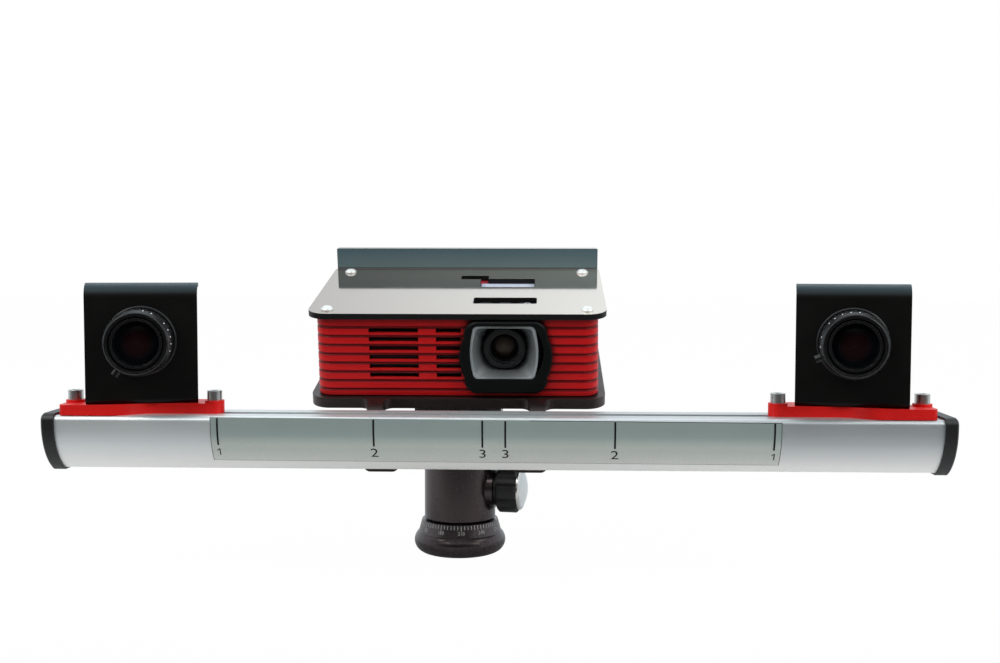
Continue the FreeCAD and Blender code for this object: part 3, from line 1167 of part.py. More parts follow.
def carriage(frame):
    """Printed foot: narrow at one screw, wide under the bracket, joined by an S-curve front and back."""
    end = CARRIAGE_HALF_SPAN + CARRIAGE_END
    near_end = -CARRIAGE_HALF_SPAN - CARRIAGE_NEAR
    half_sweep = CARRIAGE_SWEEP / 2
    step = CARRIAGE_FAR - CARRIAGE_NEAR
    middle_y = (CARRIAGE_FAR + CARRIAGE_NEAR) / 2
    sweep_radius = (half_sweep ** 2 + (step / 2) ** 2) / step
    bow = sweep_radius - math.sqrt(sweep_radius ** 2 - (math.hypot(half_sweep, step / 2) / 2) ** 2)
    slant = math.atan2(step / 2, half_sweep)
    bulge = (bow * math.sin(slant), bow * math.cos(slant))
    c = SWEEP_CENTRE
    edge = CARRIAGE_CORNER
    front = [
        (c - half_sweep, -CARRIAGE_NEAR),
        (c - half_sweep / 2 - bulge[0] * -1, -CARRIAGE_NEAR - step / 4 + bulge[1], c, -middle_y),
        (c + half_sweep / 2 - bulge[0], -CARRIAGE_FAR + step / 4 - bulge[1], c + half_sweep, -CARRIAGE_FAR)]
    right = [
        (end - edge, -CARRIAGE_FAR), arc_point((end - edge, edge - CARRIAGE_FAR), edge, -45) + (end, edge - CARRIAGE_FAR),
        (end, CARRIAGE_NEAR - edge), arc_point((end - edge, CARRIAGE_NEAR - edge), edge, 45) + (end - edge, CARRIAGE_NEAR)]
    back = [
        (half_sweep - c, CARRIAGE_NEAR),
        (half_sweep / 2 - c - bulge[0], CARRIAGE_NEAR + step / 4 - bulge[1], -c, middle_y),
        (-c - half_sweep / 2 + bulge[0], CARRIAGE_FAR - step / 4 + bulge[1], -c - half_sweep, CARRIAGE_FAR)]
    wide_end = -BRACKET_WIDTH / 2 - edge
    left = [
        (wide_end + edge, CARRIAGE_FAR),
        arc_point((wide_end + edge, CARRIAGE_FAR - edge), edge, 135) + (wide_end, CARRIAGE_FAR - edge),
        (wide_end, CARRIAGE_NEAR), (-CARRIAGE_HALF_SPAN, CARRIAGE_NEAR),
        (near_end, 0, -CARRIAGE_HALF_SPAN, -CARRIAGE_NEAR)]
    plate = outline(in_xy(), (-CARRIAGE_HALF_SPAN, -CARRIAGE_NEAR), front + right + back + left)
    solid = plate.extrude(V(0, 0, CARRIAGE_THICKNESS))
    holes = []
    for x in (-CARRIAGE_HALF_SPAN, CARRIAGE_HALF_SPAN):
        top = CARRIAGE_THICKNESS + SCREW_BOSS_HEIGHT
        solid = solid.fuse(rod(SCREW_BOSS_RADIUS, V(x, 0, 0), Z, top))
        holes.append(rod(SCREW_RADIUS + SLIP, V(x, 0, -EPS), Z, top + 2 * EPS))
    for x in (-FOOT_SCREW_PITCH / 2, FOOT_SCREW_PITCH / 2):
        place = frame.multVec(V(x, BRACKET_FOOT_DEPTH / 2, 0))
        holes.append(rod(FOOT_SCREW_RADIUS + RUNNING, V(place.x, place.y, -EPS), Z, CARRIAGE_THICKNESS + 2 * EPS))
    return solid.cut(holes)


def carriage_fixings(frame):
    """Two M5 cap screws and the slot nuts that they draw up under the rail's lips."""
    solids = []
    head_bottom = CARRIAGE_THICKNESS + SCREW_BOSS_HEIGHT
    nut_top = -SLOT_LIP - SLIP
    for x in (-CARRIAGE_HALF_SPAN, CARRIAGE_HALF_SPAN):
        head = rod(SCREW_HEAD_RADIUS, V(0, 0, head_bottom), Z, SCREW_HEAD_HEIGHT)
        shank = rod(SCREW_RADIUS, V(0, 0, nut_top - NUT_THICKNESS), Z, head_bottom - nut_top + NUT_THICKNESS)
        screw = head.fuse(shank).cut(hex_socket(SCREW_HEX, head_bottom + SCREW_HEAD_HEIGHT, SCREW_HEAD_HEIGHT / 2))
        half = SLOT_INNER / 2 - SLIP
        nut = box(-NUT_LENGTH / 2, NUT_LENGTH / 2, -half, half, nut_top - NUT_THICKNESS, nut_top)
        nut = nut.cut(rod(SCREW_RADIUS + RUNNING, V(0, 0, nut_top - NUT_THICKNESS - EPS), Z, NUT_THICKNESS + 2 * EPS))
        solids += [screw.translated(V(x, 0, 0)), nut.translated(V(x, 0, 0))]
    for x in (-FOOT_SCREW_PITCH / 2, FOOT_SCREW_PITCH / 2):
        place = frame.multVec(V(x, BRACKET_FOOT_DEPTH / 2, 0))
        top = CARRIAGE_THICKNESS + BRACKET_SHEET
        head = rod(BUTTON_RADIUS, V(place.x, place.y, top), Z, BUTTON_RISE)
        shank = rod(FOOT_SCREW_RADIUS, V(place.x, place.y, EPS), Z, top - EPS)
        solids.append(head.fuse(shank))
    return Part.makeCompound(solids)


def camera_bracket(frame):
    """Sheet C-bracket: foot on the carriage, front wall with the lens hole, top flap over the camera."""
    points = [(BRACKET_FOOT_DEPTH, 0), (0, 0), (0, BRACKET_HEIGHT), (BRACKET_TOP_DEPTH, BRACKET_HEIGHT)]
    strip = bent_strip(in_yz(-BRACKET_WIDTH / 2), points, BRACKET_SHEET, [BRACKET_FOOT_BEND, BRACKET_BEND], -1)
    sheet = strip.extrude(V(BRACKET_WIDTH, 0, 0))
    holes = [rod(THREAD_RADIUS + SLIP, V(0, -EPS, LENS_HEIGHT), Y, BRACKET_SHEET + 2 * EPS)]
    for x in (-FOOT_SCREW_PITCH / 2, FOOT_SCREW_PITCH / 2):
        holes.append(rod(FOOT_SCREW_RADIUS + SLIP, V(x, BRACKET_FOOT_DEPTH / 2, -EPS), Z, BRACKET_SHEET + 2 * EPS))
    half = BRACKET_FOOT_WIDTH / 2
    notches = []
    for x0, x1 in ((-BRACKET_WIDTH, -half), (half, BRACKET_WIDTH)):
        notches.append(box(x0, x1, BRACKET_SHEET + BRACKET_FOOT_BEND, BRACKET_FOOT_DEPTH + EPS, -EPS, BRACKET_SHEET + EPS))
    return placed(sheet.cut(holes + notches), frame)


def camera_body(frame):
    """Cube camera behind the bracket, with its mount bore and a round connector at the back."""
    half = CAMERA_SIZE / 2
    start = BRACKET_SHEET
    cube = outline(in_xz(start), *rounded_rect(-half, half, LENS_HEIGHT - half, LENS_HEIGHT + half, CAMERA_EDGE))
    cube = cube.extrude(V(0, CAMERA_LENGTH, 0))
    plug = rod(CONNECTOR_RADIUS, V(0, start + CAMERA_LENGTH, LENS_HEIGHT), Y, CONNECTOR_LENGTH)
    pin_well = rod(CONNECTOR_RADIUS - 1, V(0, start + CAMERA_LENGTH + 1, LENS_HEIGHT), Y, CONNECTOR_LENGTH)
    bore = rod(THREAD_RADIUS + RUNNING, V(0, start - EPS, LENS_HEIGHT), Y, THREAD_LENGTH + 2 * EPS)
    return placed(cube.fuse(plug).cut([pin_well, bore]), frame)


def on_lens_axis(shape, frame):
    """A solid made along +Z from the bracket's front face, laid on the camera's axis."""
    axis_frame = FreeCAD.Placement(V(0, 0, LENS_HEIGHT), FreeCAD.Rotation(X, QUARTER))
    return placed(placed(shape, axis_frame), frame)


IRIS_START = FLANGE_LENGTH + SEAT_GAP
INDEX_START = IRIS_START + IRIS_LENGTH + SEAT_GAP
FOCUS_START = INDEX_START + INDEX_LENGTH + SEAT_GAP
CORE_END = FLANGE_LENGTH + CORE_LENGTH
GLASS_LEVEL = CORE_END - CAMERA_GLASS_RECESS


def lens_body():
    """Fixed part of the camera lens: mount thread, flange, core tube and index ring."""
    bore = CORE_RADIUS - CORE_WALL
    seat = GLASS_LEVEL - CAMERA_GLASS_EDGE
    solid = turned((0, -BRACKET_SHEET - THREAD_LENGTH), [
        (THREAD_RADIUS, -BRACKET_SHEET - THREAD_LENGTH), (THREAD_RADIUS, 0), (FLANGE_RADIUS, 0),
        (FLANGE_RADIUS, FLANGE_LENGTH - 0.6), (FLANGE_RADIUS - 0.6, FLANGE_LENGTH), (CORE_RADIUS, FLANGE_LENGTH),
        (CORE_RADIUS, INDEX_START), (INDEX_RADIUS, INDEX_START), (INDEX_RADIUS, INDEX_START + INDEX_LENGTH),
        (CORE_RADIUS, INDEX_START + INDEX_LENGTH), (CORE_RADIUS, CORE_END), (bore, CORE_END),
        (CAMERA_GLASS_RADIUS + SLIP, GLASS_LEVEL), (CAMERA_GLASS_RADIUS + SLIP, seat), (0, seat)])
    return solid


def knurled_ring(radius, start, length, inner):
    ring = tube(radius, inner, V(0, 0, start), Z, length)
    depth = FLUTE_RADIUS * 0.45
    return fluted(ring, RING_FLUTES, FLUTE_RADIUS, radius + FLUTE_RADIUS - depth, V(0, 0, start - EPS), Z, length + 2 * EPS)


def iris_ring():
    return knurled_ring(IRIS_RADIUS, IRIS_START, IRIS_LENGTH, CORE_RADIUS + RUNNING)


def focus_ring(lock_angle):
    """Turning front of the lens: knurled ring and tapered rim, with a hole for the lock screw."""
    inner = CORE_RADIUS + RUNNING
    knurl = knurled_ring(FOCUS_RADIUS, FOCUS_START, FOCUS_LENGTH, inner)
    rim_start = FOCUS_START + FOCUS_LENGTH
    rim_end = rim_start + RIM_LENGTH
    rim = turned((inner, rim_start), [
        (FOCUS_RADIUS - 0.4, rim_start), (RIM_RADIUS, rim_end - 1.5), (RIM_RADIUS, rim_end - 0.5),
        (RIM_RADIUS - 0.5, rim_end), (RIM_RADIUS - 1.4, rim_end), (inner, rim_start + RIM_LENGTH - 3)])
    angle = math.radians(lock_angle)
    hole = rod(LOCK_SCREW_RADIUS + RUNNING, V(0, 0, FOCUS_START + FOCUS_LENGTH / 2),
               V(math.cos(angle), math.sin(angle), 0), FOCUS_RADIUS + 1)
    return knurl.fuse(rim).cut(hole)


def lens_lock(lock_angle):
    """Thumb screw that locks the focus ring; its tip stops short of the core."""
    angle = math.radians(lock_angle)
    axis = V(math.cos(angle), math.sin(angle), 0)
    level = V(0, 0, FOCUS_START + FOCUS_LENGTH / 2)
    tip = CORE_RADIUS + SEAT_GAP
    shank = rod(LOCK_SCREW_RADIUS, level + axis * tip, axis, FOCUS_RADIUS + SLIP - tip)
    head = rod(LOCK_HEAD_RADIUS, level + axis * (FOCUS_RADIUS + SLIP), axis, LOCK_HEAD_LENGTH)
    return head.fuse(shank)


def lens_glass():
    """Front element, domed outwards."""
    seat = GLASS_LEVEL - CAMERA_GLASS_EDGE
    radius = CAMERA_GLASS_RADIUS
    return turned((0, seat), [(radius, seat), (radius, GLASS_LEVEL), dome(radius, GLASS_LEVEL, CAMERA_GLASS_RISE)])


def camera_module(side):
    """All pieces of one module, named with its side."""
    name, lock_angle, toe_in = ("right", LOCK_ANGLE_RIGHT, TOE_IN_RIGHT) if side > 0 else (
        "left", LOCK_ANGLE_LEFT, TOE_IN_LEFT)
    frame = bracket_frame(toe_in)
    local = {
        "carriage": carriage(frame),
        "carriage_fixings": carriage_fixings(frame),
        "camera_bracket": camera_bracket(frame),
        "camera_body": camera_body(frame),
        "lens_body": on_lens_axis(lens_body(), frame),
        "iris_ring": on_lens_axis(iris_ring(), frame),
        "focus_ring": on_lens_axis(focus_ring(lock_angle), frame),
        "lens_glass": on_lens_axis(lens_glass(), frame),
        "lens_lock": on_lens_axis(lens_lock(lock_angle), frame)}
    pieces = {}
    for piece, shape in local.items():
        shape = shape if side > 0 else mirrored(shape)
        seat = FreeCAD.Placement(V(CAMERA_SHIFT + side * CAMERA_HALF_SPAN, SLOT_Y, 0), FreeCAD.Rotation())
        pieces[piece + "_" + name] = placed(placed(shape, seat), RAIL_FRAME)
    return pieces


# ---- assembly ----
def head_pieces():
    knob_seat = FreeCAD.Placement(V(BOSS_REACH + SEAT_GAP, 0, KNOB_Z), FreeCAD.Rotation(Z, X))
    pan_seat = FreeCAD.Placement(V(0, HOUSING_RADIUS + SEAT_GAP, PAN_KNOB_Z), FreeCAD.Rotation(Z, Y))
    turning = {
        "ball_housing": ball_housing(),
        "ball_seat": ball_seat(),
        "lock_knob_grip": placed(lock_knob_grip(), knob_seat),
        "lock_knob_trim": placed(lock_knob_trim(), knob_seat),
        "lock_knob_cap": placed(lock_knob_cap(), knob_seat),
        "pan_lock_knob": placed(pan_lock_knob(), pan_seat)}
    pieces = {"base_ring": base_ring(), "scale_ring": scale_ring(), "pan_spindle": pan_spindle()}
    for name, shape in turning.items():
        pieces[name] = placed(shape, HEAD_FRAME)
    return pieces


def clamp_pieces():
    local = {
        "ball": ball(),
        "ball_stem": ball_stem(),
        "clamp_base": clamp_base(),
        "clamp_jaw": clamp_jaw(),
        "clamp_knob": clamp_knob(),
        "quick_plate": quick_plate(),
        "quick_plate_screw": quick_plate_screw()}
    return {name: placed(shape, BALL_FRAME) for name, shape in local.items()}


def projector_pieces():
    local = {
        "top_plate": top_plate(),
        "case_posts": case_posts(),
        "plate_screws": plate_screws(),
        "case_shell": case_shell(),
        "case_floor": case_floor(),
        "vent_louvres": vent_louvres(),
        "light_engine": light_engine(),
        "lens_hood": lens_hood(),
        "lens_funnel": lens_funnel(),
        "lens_barrel": lens_barrel(),
        "projector_lens": projector_lens(),
        "focus_sector": focus_sector(),
        "keypad_panel": keypad_panel(),
        "rear_panel": rear_panel()}
    for index, x in enumerate(key_places()):
        local["key_%d" % (index + 1)] = key_cap(x)
    pieces = {name: placed(shape, PLATE_FRAME) for name, shape in local.items()}
    pieces["base_plate"] = base_plate()
    pieces["rail_fixings"] = rail_fixings()
    return pieces


def rail_pieces():
    local = {"rail": rail(), "end_cap_left": end_cap(-1), "end_cap_right": end_cap(1)}
    return {name: placed(shape, RAIL_FRAME) for name, shape in local.items()}


def main():
    pieces = {}
    for group in (head_pieces(), clamp_pieces(), projector_pieces(), rail_pieces(), camera_module(-1), camera_module(1)):
        pieces.update(group)
    os.makedirs("parts", exist_ok=True)
    for name, shape in sorted(pieces.items()):
        shape.exportStep("parts/%s.step" % name)
        print("%-24s solids %d valid %s volume %.1f" % (name, len(shape.Solids), shape.isValid(), shape.Volume))
    print(len(pieces), "nodes")


main()
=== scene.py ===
import json
import math

import bmesh
import bpy
from mathutils import Matrix, Vector


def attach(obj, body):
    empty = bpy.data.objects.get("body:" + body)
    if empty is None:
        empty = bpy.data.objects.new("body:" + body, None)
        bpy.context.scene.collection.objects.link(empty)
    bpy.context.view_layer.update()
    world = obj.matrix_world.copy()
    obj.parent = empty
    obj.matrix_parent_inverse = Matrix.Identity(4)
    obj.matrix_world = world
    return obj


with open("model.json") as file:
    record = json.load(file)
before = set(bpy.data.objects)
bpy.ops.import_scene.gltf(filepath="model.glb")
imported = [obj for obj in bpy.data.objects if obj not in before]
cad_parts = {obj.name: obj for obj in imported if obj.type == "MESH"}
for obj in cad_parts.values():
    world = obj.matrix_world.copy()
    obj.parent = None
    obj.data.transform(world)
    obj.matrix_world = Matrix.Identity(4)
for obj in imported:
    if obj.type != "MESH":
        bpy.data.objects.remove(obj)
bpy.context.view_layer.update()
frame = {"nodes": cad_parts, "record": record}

NODES = frame["nodes"]
MM = 0.001

# ---------------------------------------------------------------- camera
LENS_MM = 42.84
SENSOR_MM = 36.0
CAMERA_PLACE = Vector((51.2, -760.1, 184.7)) * MM
CAMERA_PITCH = 86.754
CAMERA_YAW = 1.925
CAMERA_ROLL = 0.08

camera_data = bpy.data.cameras.new("camera")
camera_data.lens = LENS_MM
camera_data.sensor_width = SENSOR_MM
camera_data.clip_start = 0.01
camera_data.clip_end = 50.0
camera = bpy.data.objects.new("camera", camera_data)
camera.location = CAMERA_PLACE
aim = Matrix.Rotation(math.radians(CAMERA_YAW), 3, "Z") @ Matrix.Rotation(math.radians(CAMERA_PITCH), 3, "X")
camera.rotation_euler = (aim @ Matrix.Rotation(math.radians(CAMERA_ROLL), 3, "Z")).to_euler()
bpy.context.scene.collection.objects.link(camera)
bpy.context.scene.camera = camera


# ---------------------------------------------------------------- frames of the CAD, in millimetres
class Frame:
    """An origin and three axes; place() turns its own millimetres into the row frame's metres."""

    def __init__(self, origin, axis_x=(1, 0, 0), axis_y=(0, 1, 0), axis_z=(0, 0, 1)):
        self.origin = Vector(origin)
        self.axes = [Vector(axis) for axis in (axis_x, axis_y, axis_z)]

    def place(self, x, y, z):
        return (self.origin + self.axes[0] * x + self.axes[1] * y + self.axes[2] * z) * MM

    def matrix(self):
        rows = Matrix([list(axis) for axis in self.axes]).transposed().to_4x4()
        return Matrix.Translation(self.origin * MM) @ rows


TILT_COS, TILT_SIN = 0.97278, 0.23175
PLATE = Frame((1.3, -44.0552, 97.2098), (1, 0, 0), (0, TILT_COS, TILT_SIN), (0, -TILT_SIN, TILT_COS))
RAIL = Frame((25.65, -98.0552, 98.4598))
CASE_TOP = 55.75
CASE_BACK = 112.0
RIB_RISE = 0.7
GROOVE_FOOT = 10.7
RIB_PITCH = 5.6
SHEET_TOP = CASE_TOP + 3.5
RAIL_DEPTH = 36.0
RAIL_HEIGHT = 32.0
FRONT_RADIUS = 33.0
FRONT_ARC_Z = -4.0
MODULE_SPAN = 202.6
MODULE_SHIFT = -0.65
SLOT_Y = 18.0
CARRIAGE_THICKNESS = 6.0
BRACKET_OFFSET = 9.5
BRACKET_INSET = 1.4
LENS_HEIGHT = 36.3
TOE_IN = {"left": 12.5, "right": 11.5}


def camera_frame(side):
    """Frame of a camera module: origin on the lens axis at the bracket's front, y backwards, x outwards."""
    sign = 1 if side == "right" else -1
    turn = math.radians(-TOE_IN[side])
    across = Vector((sign * math.cos(turn), math.sin(turn), 0))
    back = Vector((-sign * math.sin(turn), math.cos(turn), 0))
    origin = RAIL.origin + Vector((MODULE_SHIFT + sign * (MODULE_SPAN - BRACKET_INSET), SLOT_Y - BRACKET_OFFSET,
                                   CARRIAGE_THICKNESS + LENS_HEIGHT))
    return Frame(origin, across, back, (0, 0, 1))


# ---------------------------------------------------------------- node helpers
class Tree:
    """Short names for building a material's node tree."""

    def __init__(self, name):
        self.material = bpy.data.materials.new(name)
        self.material.use_nodes = True
        self.tree = self.material.node_tree
        self.shader = self.tree.nodes["Principled BSDF"]
        self.output = self.tree.nodes["Material Output"]
        self.place = self.add("ShaderNodeTexCoord")
        self.where = self.place.outputs["Object"]

    def add(self, kind, **settings):
        node = self.tree.nodes.new(kind)
        for key, value in settings.items():
            setattr(node, key, value)
        return node

    def link(self, source, target):
        self.tree.links.new(source, target)

    def put(self, value, target):
        if isinstance(value, bpy.types.NodeSocket):
            self.link(value, target)
        elif value is not None:
            target.default_value = value

    def mapped(self, scale, where=None):
        mapping = self.add("ShaderNodeMapping")
        mapping.inputs["Scale"].default_value = scale
        self.link(where or self.where, mapping.inputs["Vector"])
        return mapping.outputs["Vector"]

    def noise(self, scale, detail=3.0, rough=0.55, stretch=None):
        source = self.mapped(stretch) if stretch else self.where
        node = self.add("ShaderNodeTexNoise")
        node.inputs["Scale"].default_value = scale
        node.inputs["Detail"].default_value = detail
        node.inputs["Roughness"].default_value = rough
        self.link(source, node.inputs["Vector"])
        return node.outputs["Fac"]

    def cells(self, scale, feature="F1"):
        node = self.add("ShaderNodeTexVoronoi", feature=feature)
        node.inputs["Scale"].default_value = scale
        self.link(self.where, node.inputs["Vector"])
        return node.outputs["Distance"]

    def remap(self, value, low, high, out_low=0.0, out_high=1.0):
        node = self.add("ShaderNodeMapRange")
        node.inputs["From Min"].default_value = low
        node.inputs["From Max"].default_value = high
        node.inputs["To Min"].default_value = out_low
        node.inputs["To Max"].default_value = out_high
        self.link(value, node.inputs["Value"])
        return node.outputs["Result"]

    def math(self, operation, first, second=None, clamp=False):
        node = self.add("ShaderNodeMath", operation=operation, use_clamp=clamp)
        self.put(first, node.inputs[0])
        self.put(second, node.inputs[1])
        return node.outputs["Value"]

    def dot(self, vector, direction):
        node = self.add("ShaderNodeVectorMath", operation="DOT_PRODUCT")
        self.link(vector, node.inputs[0])
        node.inputs[1].default_value = direction
        return node.outputs["Value"]

    def along(self, direction):
        """Distance of a point from the row frame's origin along a direction, in metres."""
        return self.dot(self.where, direction)

    def facing(self, direction, low=0.6, high=0.85):
        """Mask of the faces of a piece that look along a direction."""
        return self.remap(self.dot(self.place.outputs["Normal"], direction), low, high)

    def radius_from(self, origin, direction):
        """Distance of a point from an axis, in metres."""
        away = self.add("ShaderNodeVectorMath", operation="SUBTRACT")
        self.link(self.where, away.inputs[0])
        away.inputs[1].default_value = origin
        across = self.add("ShaderNodeVectorMath", operation="CROSS_PRODUCT")
        self.link(away.outputs["Vector"], across.inputs[0])
        across.inputs[1].default_value = direction
        length = self.add("ShaderNodeVectorMath", operation="LENGTH")
        self.link(across.outputs["Vector"], length.inputs[0])
        return length.outputs["Value"]

    def mix(self, factor, first, second):
        node = self.add("ShaderNodeMix", data_type="RGBA")
        self.put(factor, node.inputs["Factor"])
        self.put(first, node.inputs["A"])
        self.put(second, node.inputs["B"])
        return node.outputs["Result"]

    def bevel(self, radius, samples=4):
        node = self.add("ShaderNodeBevel", samples=samples)
        node.inputs["Radius"].default_value = radius
        return node.outputs["Normal"]

    def bump(self, height, distance, strength=1.0, normal=None):
        node = self.add("ShaderNodeBump")
        node.inputs["Strength"].default_value = strength
        node.inputs["Distance"].default_value = distance
        self.link(height, node.inputs["Height"])
        if normal:
            self.link(normal, node.inputs["Normal"])
        return node.outputs["Normal"]

    def edges(self, normal, low=0.02, high=0.25):
        """Mask of the edges: where the rounded normal leaves the flat one."""
        geometry = self.add("ShaderNodeNewGeometry")
        dot = self.add("ShaderNodeVectorMath", operation="DOT_PRODUCT")
        self.link(normal, dot.inputs[0])
        self.link(geometry.outputs["Normal"], dot.inputs[1])
        away = self.math("SUBTRACT", 1.0, dot.outputs["Value"])
        return self.remap(away, low, high)


def rgb(*values):
    return tuple(values) + (1.0,)


def scaled(colour, factor):
    return tuple(min(1.0, part * factor) for part in colour[:3]) + (1.0,)


def solid_finish(name, colour, roughness, metallic=0.0, tint=0.06, patch=45.0, spread=0.05, grain=900.0,
                 grain_depth=0.00001, edge=0.0003, edge_tint=1.5, edge_amount=0.3, coat=0.0, coat_roughness=0.1,
                 specular=0.5, stretch=None, dust=0.0, paint=None, gloss_tone=(1.0, 1.0, 1.0)):
    """A moulded, coated or machined surface: patches of tone, uneven gloss, grain and lighter edges: wear, and on the
    lens bodies a painted rim highlight.

    paint(tree, tone) may lay further tones over the base one.
    """
    t = Tree(name)
    clouds = t.noise(patch, 4.0, 0.6)
    fine = t.noise(grain, 2.0, 0.7, stretch=stretch)
    tone = t.mix(t.remap(clouds, 0.3, 0.7), scaled(colour, 1.0 - tint), scaled(colour, 1.0 + tint))
    if paint:
        tone = paint(t, tone)
    normal = t.bevel(edge)
    wear_and_rim_highlight = t.math("MULTIPLY", t.edges(normal), t.remap(t.noise(patch * 6, 3.0), 0.35, 0.65, 0.3, 1.0))
    tone = t.mix(t.math("MULTIPLY", wear_and_rim_highlight, edge_amount), tone, scaled(colour, edge_tint))
    if dust:
        specks = t.remap(t.cells(1400.0), 0.10, 0.02)
        rare = t.remap(t.noise(260.0, 1.0), 0.62, 0.70)
        tone = t.mix(t.math("MULTIPLY", t.math("MULTIPLY", specks, rare), dust), tone, rgb(0.5, 0.5, 0.5))
    t.link(tone, t.shader.inputs["Base Color"])
    t.link(t.remap(t.noise(patch * 1.7, 5.0, 0.65), 0.25, 0.75, roughness - spread, roughness + spread),
           t.shader.inputs["Roughness"])
    t.shader.inputs["Metallic"].default_value = metallic
    t.shader.inputs["Specular IOR Level"].default_value = specular
    t.shader.inputs["Specular Tint"].default_value = rgb(*gloss_tone)
    if coat:
        t.shader.inputs["Coat Weight"].default_value = coat
        t.shader.inputs["Coat Roughness"].default_value = coat_roughness
    t.link(t.bump(fine, grain_depth, 1.0, normal), t.shader.inputs["Normal"])
    return t.material


def print_ink(name, colour, roughness=0.45):
    """Printed ink: a thin uneven film."""
    t = Tree(name)
    film = t.noise(700.0, 3.0)
    t.link(t.mix(t.remap(film, 0.3, 0.7), scaled(colour, 0.85), scaled(colour, 1.1)), t.shader.inputs["Base Color"])
    t.link(t.remap(film, 0.3, 0.7, roughness - 0.08, roughness + 0.08), t.shader.inputs["Roughness"])
    t.shader.inputs["Specular IOR Level"].default_value = 0.3
    return t.material


# ---------------------------------------------------------------- finishes that change over a piece
def sheet_material():
    """Dark sheet: its upper face is polished and mirrors the light, with a painted pale warm reflection that
    brightens to the right; the satin flange carries a painted blue-grey reflection, lighter at its foot.
    """
    t = Tree("sheet_black")
    up = t.facing(PLATE.axes[2], 0.75, 0.9)
    front = t.facing(-PLATE.axes[1], 0.6, 0.85)
    base = (PLATE.origin * MM).dot(PLATE.axes[2])
    level = t.math("SUBTRACT", t.along(PLATE.axes[2]), base)
    raised = t.remap(level, (SHEET_TOP + 0.4) * MM, (SHEET_TOP + 1.2) * MM)
    flange = t.math("MULTIPLY", front, raised)
    drift = t.noise(9.0, 2.0, 0.5)
    # Painted reflection on the polished upper face: pale and warm, brighter to the right.
    across = t.remap(t.along((1, 0, 0)), -0.09, 0.09)
    pale = t.mix(across, rgb(0.48, 0.40, 0.355), rgb(0.90, 0.80, 0.71))
    pale = t.mix(t.remap(drift, 0.3, 0.7, 0.0, 0.15), pale, rgb(0.58, 0.51, 0.46))
    # Painted reflection on the flange: blue-grey, lighter at its foot.
    flange_reflection = t.mix(t.remap(level, (SHEET_TOP + 1.0) * MM, (SHEET_TOP + 14.0) * MM), rgb(0.15, 0.215, 0.23),
                  rgb(0.09, 0.155, 0.185))
    tone = t.mix(flange, rgb(0.012, 0.012, 0.013), flange_reflection)
    tone = t.mix(up, tone, pale)
    normal = t.bevel(0.0004)
    tone = t.mix(t.math("MULTIPLY", t.edges(normal), 0.3), tone, rgb(0.16, 0.18, 0.19))
    t.link(tone, t.shader.inputs["Base Color"])
    t.link(t.math("MULTIPLY", up, 0.9), t.shader.inputs["Metallic"])
    t.shader.inputs["Specular IOR Level"].default_value = 0.15
    rough = t.remap(t.noise(30.0, 4.0, 0.6), 0.3, 0.7, 0.05, 0.08)
    t.link(t.math("ADD", rough, t.math("MULTIPLY", t.math("SUBTRACT", 1.0, up), 0.3)), t.shader.inputs["Roughness"])
    fine = t.noise(900.0, 2.0, 0.7, stretch=(0.15, 1.0, 1.0))
    t.link(t.bump(fine, 0.000003, 1.0, normal), t.shader.inputs["Normal"])
    return t.material


def glass_material(name, axes, clear, core, halo, soft=0.12):
    """Coated front element: a warm tone inside a radius, a cold one outside; axes are (origin, direction) pairs."""
    t = Tree(name)
    radius = None
    for origin, direction in axes:
        reach = t.radius_from(origin, direction)
        radius = reach if radius is None else t.math("MINIMUM", radius, reach)
    ripple = t.math("MULTIPLY", t.math("SINE", t.math("MULTIPLY", radius, 5200.0)), 0.12)
    tone = t.mix(t.remap(radius, clear * (1 - soft), clear * (1 + soft)), core, halo)
    tone = t.mix(t.math("ADD", t.remap(t.noise(220.0, 3.0), 0.35, 0.65, 0.0, 0.3), ripple, clamp=True), tone,
                 scaled(core, 0.4))
    t.link(tone, t.shader.inputs["Base Color"])
    t.link(t.remap(t.noise(60.0, 3.0), 0.3, 0.7, 0.04, 0.09), t.shader.inputs["Roughness"])
    t.shader.inputs["Specular IOR Level"].default_value = 0.12
    return t.material


def rail_material():
    """Clear-anodised extrusion: satin metal with fine die lines along its length; painted light makes it brighter on
    the left, and a painted reflection of the floor makes its downward faces paler.
    """
    t = Tree("rail_grey")
    lines = t.noise(1.0, 3.0, 0.6, stretch=(6.0, 2600.0, 2600.0))
    drift = t.noise(12.0, 3.0, 0.5)
    tone = t.mix(t.remap(drift, 0.3, 0.7), rgb(0.53, 0.565, 0.58), rgb(0.58, 0.61, 0.62))
    # Painted light: the rail is brighter on the left.
    tone = t.mix(t.remap(t.along((1, 0, 0)), -0.16, 0.14), rgb(0.74, 0.78, 0.79), tone)
    tone = t.mix(t.remap(lines, 0.35, 0.65, 0.0, 0.12), tone, rgb(0.5, 0.52, 0.53))
    # Painted reflection of the floor: faces that look down are paler.
    tone = t.mix(t.facing((0, 0, -1), 0.3, 0.8), tone, rgb(0.92, 0.91, 0.885))
    normal = t.bevel(0.0003)
    t.link(tone, t.shader.inputs["Base Color"])
    t.shader.inputs["Metallic"].default_value = 0.55
    t.link(t.remap(drift, 0.3, 0.7, 0.38, 0.44), t.shader.inputs["Roughness"])
    t.link(t.bump(lines, 0.000002, 1.0, normal), t.shader.inputs["Normal"])
    return t.material


